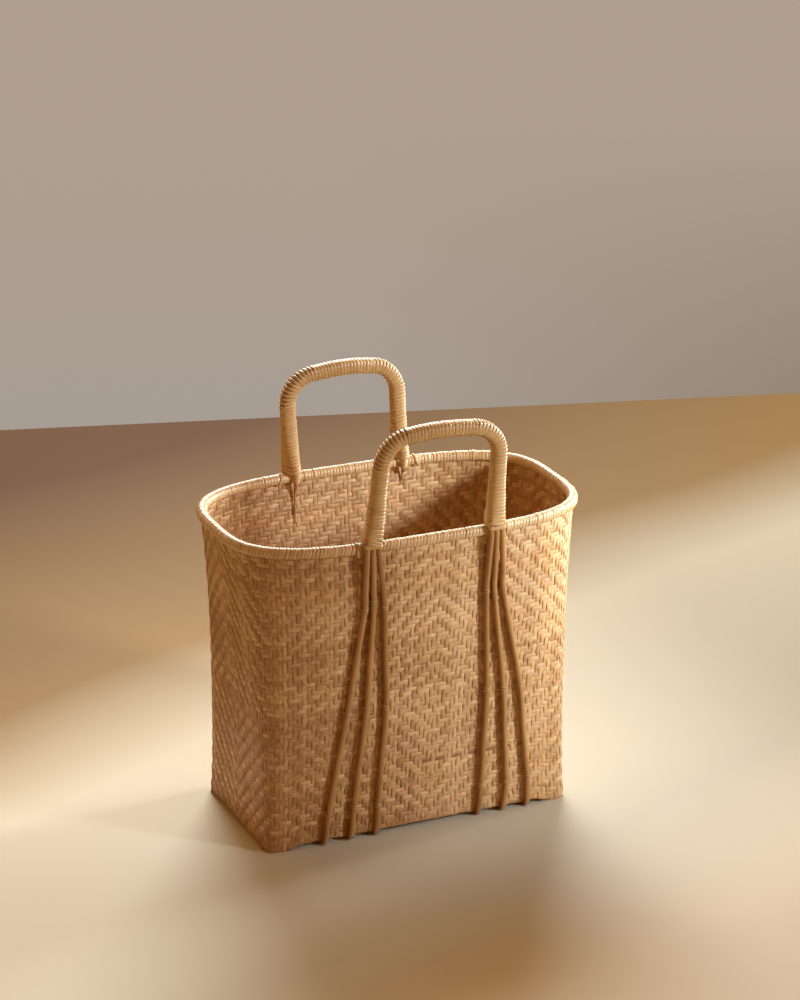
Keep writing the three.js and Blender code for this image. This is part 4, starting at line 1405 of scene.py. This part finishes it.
    def _core_wrap(self, leg: Leg) -> None:
        """Makes the turns round the core inside the rim.

        Args:
            leg: Which leg.
        """
        ring = np.arange(self.core_turns * ROUND_SIDES + 1)
        angle = 2 * math.pi * ring / ROUND_SIDES
        facing = np.stack([np.cos(angle), np.sin(angle)], axis=-1)
        spot = facing * (ROUTES.radius + self.core_room)
        centre = WALL.front(self.side, self.leg_x(leg) + spot[:, 0], WALL.top,
                            ROUTES.core_offset + spot[:, 1])
        centre[:, 2] = self.core_start + self.pitch * ring / ROUND_SIDES
        self._coil(f"{self.name}_{leg.name.lower()}_core_coil", centre, facing)

    def _strap(self, centre: Array, across: Array, section: Section) -> Array:
        """Lays straps along ways on the wall.

        Args:
            centre: Points of the ways.
            across: The direction that their width stays near to.
            section: Their section.

        Returns:
            Points by way, ring and side.
        """
        run = unit(np.gradient(centre, axis=-2))
        across = square_to(run, across)
        return swept(centre, across, np.cross(across, run) * -self.side, section)

    def _lashing(self, leg: Leg) -> None:
        """Makes the strap over the rim beside a leg.

        Args:
            leg: Which leg.
        """
        way = spline(np.array(self.lashing_way), self.lashing_samples)
        x = self.leg_x(leg) + leg.value * (self.lashing_reach + self.lashing_slant * way[:, 2])
        centre = WALL.front(self.side, x, way[:, 1], way[:, 0])
        grid = self._strap(centre, np.array([1.0, 0, 0]), self.lashing)
        name = f"{self.name}_{leg.name.lower()}_rim_lashing"
        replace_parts(Tubes.single(f"{name}_strip", grid, TIE, self.lashing, self.lashing_tone,
                                 self.lashing_hue), name)

    def _tie_ways(self, leg: Leg, cane: int) -> list[Array]:
        """Lays the ties of one cane, two turns at each row.

        Args:
            leg: Which leg.
            cane: Which cane of it.

        Returns:
            Points of each turn.
        """
        reach = ROUTES.radius + self.tie_room
        half = reach + self.tie_foot
        wall_way = self.wall_way(leg, cane)[::-1]
        angles = np.radians(np.linspace(*self.tie_arc, self.tie_points))
        left = [(-half + step, lift) for step, lift in self.tie_ends]
        right = [(half - step, lift) for step, lift in reversed(self.tie_ends)]
        ways = []
        for height, step, *_ in ROUTES.rows:
            height -= leg.value * step if cane == 1 else 0
            x, offset = (np.interp(height, wall_way[:, 1], wall_way[:, k]) for k in (0, 2))
            arc = [(reach * math.cos(a), offset + reach * math.sin(a)) for a in angles]
            way = np.array([*left, *arc, *right])
            for shift, slant in self.tie_turns:
                slope = self.random.normal(slant, self.tie_slants) * way[:, 0] / reach
                ways.append(WALL.front(self.side, x + way[:, 0], height + shift + slope, way[:, 1]))
        return ways

    def _ties(self) -> None:
        """Makes the strips that tie the canes to the wall."""
        ways, names = [], []
        for leg in Leg:
            for cane, cane_name in enumerate(CANES):
                ways += self._tie_ways(leg, cane)
                names += [f"{self.name}_{leg.name.lower()}_{cane_name}_tie_{row}"
                          for row in ROUTES.row_names]
        piece = Tubes.build(f"{self.name}_ties", self._strap(np.array(ways), UP, self.tie), TIE,
                            self.tie, self.random.normal(*self.tie_tone, len(ways)),
                            np.full(len(ways), self.tie_hue))
        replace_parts(piece, *names)

    def build(self) -> None:
        """Makes the handle's pieces."""
        self._canes()
        self._binding()
        for leg in Leg:
            self._foot_wrap(leg)
            self._core_wrap(leg)
            self._lashing(leg)
        self._ties()


@dataclass(frozen=True)
class Lamp:
    """A soft square light; lengths are in metres, spread in degrees and power in watts."""

    name: str
    place: tuple
    aim: tuple
    size: float
    spread: float
    power: float
    colour: tuple

    def build(self) -> None:
        """Adds the light."""
        light = bpy.data.lights.new(self.name, "AREA")
        light.shape = "SQUARE"
        light.size = self.size
        light.spread = math.radians(self.spread)
        light.energy = self.power
        light.color = self.colour
        holder = bpy.data.objects.new(self.name, light)
        holder.location = self.place
        aim = Vector(self.aim) - Vector(self.place)
        holder.rotation_euler = aim.to_track_quat("-Z", "Y").to_euler()
        bpy.context.scene.collection.objects.link(holder)


LAMPS = (
    Lamp("key", (0.92, -1.02, 0.7), (0.26, -0.1, 0.27), size=0.2, spread=32.0, power=0.88,
         colour=(0.93, 1.02, 1.14)),
    Lamp("glow", (0.9, 0.12, 0.52), (0.0, 0.0, 0.34), size=0.25, spread=44.0, power=1.35,
         colour=(0.98, 1.0, 1.04)),
    Lamp("window", (0.75, 2.15, 1.75), (0, 0, 0.2), size=1.5, spread=180.0, power=106.0,
         colour=(1.0, 1.0, 1.0)),
    Lamp("side", (-1.1, 1.3, 0.8), (-0.15, 0, 0.15), size=0.8, spread=60.0, power=0.5,
         colour=(1.0, 0.78, 0.52)),
)


@dataclass
class Studio:
    """Pale floor, soft lights, the wall's tone behind and the camera, in metres and degrees.

    The floor ends at far_edge on the line X = 0, and its edge slopes by far_slope. Its tones
    follow the depth Y + floor_skew X over floor_depth, unevenly by floor_cloud, and are lifted near
    the camera as painted light. They change by painted_light_shares between the places floor_sides
    along X: painted light, lighter on the left where the key lamp's shadow falls and darker on the
    right where the lamps' light pools. wall_fade and corner_fade are heights and places along X of
    view directions, between which the wall's tones change, darkening to painted shade at the lower
    right.
    """

    camera_place: tuple = (-1.112, -2.502, 1.3298)
    azimuth: float = -24.19
    elevation: float = 20.66
    roll: float = 0.35
    lens: float = 114.6
    sensor: float = 36.0
    view_end: float = 50.0
    floor_half: float = 6.0
    far_edge: float = 1.132
    far_slope: float = -0.269
    floor_depth: tuple = (-0.4, 1.05)
    floor_skew: float = -0.35
    floor_cloud: float = 0.12
    cloud_scale: float = 1.3
    floor_sides: tuple = (-0.5, 0.5)
    # Painted light from side to side: lighter on the left, darker on the right.
    painted_light_shares: tuple = (1.16, 0.8)
    floor_roughness: float = 0.6
    floor_gloss: float = 0.08
    # The first tone, near the camera, is lifted as painted light.
    floor_tones: tuple = ((0.0, (1.0, 0.92, 0.72)), (0.2, (0.63, 0.6, 0.47)),
                          (0.48, (0.65, 0.6, 0.45)), (0.62, (0.29, 0.18, 0.06)),
                          (1.0, (0.09, 0.037, 0.007)))
    wall_high: tuple = (0.43, 0.345, 0.27)
    wall_low: tuple = (0.385, 0.335, 0.295)
    # Painted shade on the wall at the lower right.
    wall_corner_shade: tuple = (0.27, 0.195, 0.13)
    wall_fade: tuple = (-0.24, -0.34)
    corner_fade: tuple = (0.38, 0.52)
    room: tuple = (1.0, 0.47, 0.1)
    room_strength: float = 0.31

    def _floor(self) -> None:
        """Makes the pale floor."""
        bm = bmesh.new()
        bmesh.ops.create_grid(bm, x_segments=1, y_segments=1, size=1.0)
        for vert in bm.verts:
            vert.co.x *= self.floor_half
            far = self.far_edge + self.far_slope * vert.co.x
            vert.co.y = far if vert.co.y > 0 else -self.floor_half
        mesh = bpy.data.meshes.new("floor")
        bm.to_mesh(mesh)
        bm.free()
        mesh.materials.append(self._floor_material())
        floor = bpy.data.objects.new("floor", mesh)
        bpy.context.scene.collection.objects.link(floor)

    def _floor_material(self) -> bpy.types.Material:
        """Makes the floor's material, whose tones change with depth and from side to side, partly as
        painted light.

        Returns:
            The material.
        """
        material = bpy.data.materials.new("pale_floor")
        material.use_nodes = True
        wiring = Wiring(material.node_tree)
        place = wiring.add("TexCoord", {}).outputs["Object"]
        parts = wiring.add("SeparateXYZ", {"Vector": place}).outputs
        cloud = wiring.add("TexNoise", {"Vector": place, "Scale": self.cloud_scale}).outputs["Fac"]
        skewed = wiring.maths("MULTIPLY_ADD", parts["X"], self.floor_skew, parts["Y"])
        depth = wiring.span(skewed, self.floor_depth)
        uneven = wiring.maths("MULTIPLY_ADD", cloud, self.floor_cloud, depth)
        # Painted light: the floor is lighter on the left, where the key lamp's shadow falls, and darker on
        # the right, where the lamps' light pools.
        painted_side_light = wiring.span(parts["X"], self.floor_sides, self.painted_light_shares)
        tinted = wiring.add("VectorMath", {0: wiring.ramp(uneven, self.floor_tones), "Scale": painted_side_light},
                            operation="SCALE")
        shader = wiring.nodes["Principled BSDF"]
        for name, value in (("Base Color", tinted.outputs[0]), ("Roughness", self.floor_roughness),
                            ("Specular IOR Level", self.floor_gloss)):
            wiring.put(shader.inputs[name], value)
        return material

    def _world(self) -> None:
        """Makes the soft light from all round and the wall's tone behind."""
        world = bpy.data.worlds.new("soft_room")
        bpy.context.scene.world = world
        world.use_nodes = True
        world.node_tree.nodes.clear()
        wiring = Wiring(world.node_tree)
        place = wiring.add("TexCoord", {}).outputs["Generated"]
        parts = wiring.add("SeparateXYZ", {"Vector": place}).outputs
        low = wiring.span(parts["Z"], self.wall_fade)
        right = wiring.span(parts["X"], self.corner_fade)
        tone = wiring.mix("MIX", low, (*self.wall_high, 1), (*self.wall_low, 1))
        # Darkens the wall towards the lower right with painted shade.
        tone = wiring.mix("MIX", wiring.maths("MULTIPLY", low, right), tone, (*self.wall_corner_shade, 1))
        seen = wiring.add("Background", {"Color": tone})
        room = wiring.add("Background", {"Color": (*self.room, 1), "Strength": self.room_strength})
        path = wiring.add("LightPath", {})
        choose = wiring.add("MixShader", {0: path.outputs["Is Camera Ray"],
                                          1: room.outputs["Background"],
                                          2: seen.outputs["Background"]})
        wiring.add("OutputWorld", {"Surface": choose.outputs["Shader"]})

    def _camera(self) -> None:
        """Sets the camera at the photograph's viewpoint."""
        a, e, r = (math.radians(v) for v in (self.azimuth, self.elevation, self.roll))
        right = Vector((math.cos(a), math.sin(a), 0))
        back = Vector((math.sin(a) * math.cos(e), -math.cos(a) * math.cos(e), math.sin(e)))
        up = back.cross(right)
        turned = (right * math.cos(r) + up * math.sin(r), up * math.cos(r) - right * math.sin(r), back)
        data = bpy.data.cameras.new("camera")
        data.lens = self.lens
        data.sensor_width = self.sensor
        data.clip_end = self.view_end
        camera = bpy.data.objects.new("camera", data)
        camera.matrix_world = (Matrix.Translation(self.camera_place)
                               @ Matrix(turned).transposed().to_4x4())
        bpy.context.scene.collection.objects.link(camera)
        bpy.context.scene.camera = camera

    def build(self) -> None:
        """Sets up the floor, the lights and the camera."""
        self._floor()
        self._world()
        for lamp in LAMPS:
            lamp.build()
        self._camera()
        bpy.context.scene.view_settings.view_transform = "Standard"


def main() -> None:
    """Builds the basket and its studio."""
    logging.basicConfig(level=logging.INFO, format="%(name)s %(message)s")
    Studio().build()
    WovenBody().build()
    Rim().build()
    Handle("front", side=-1, half_span=60.3, middle=-0.3, rise=104.4, seed=21,
           pull=(10.2, 3.2)).build()
    Handle("back", side=1, half_span=55.5, middle=0.7, rise=100.2, seed=22, pull=(-3.8, -2.8),
           short_tail=True).build()


if __name__ == "__main__":
    main()
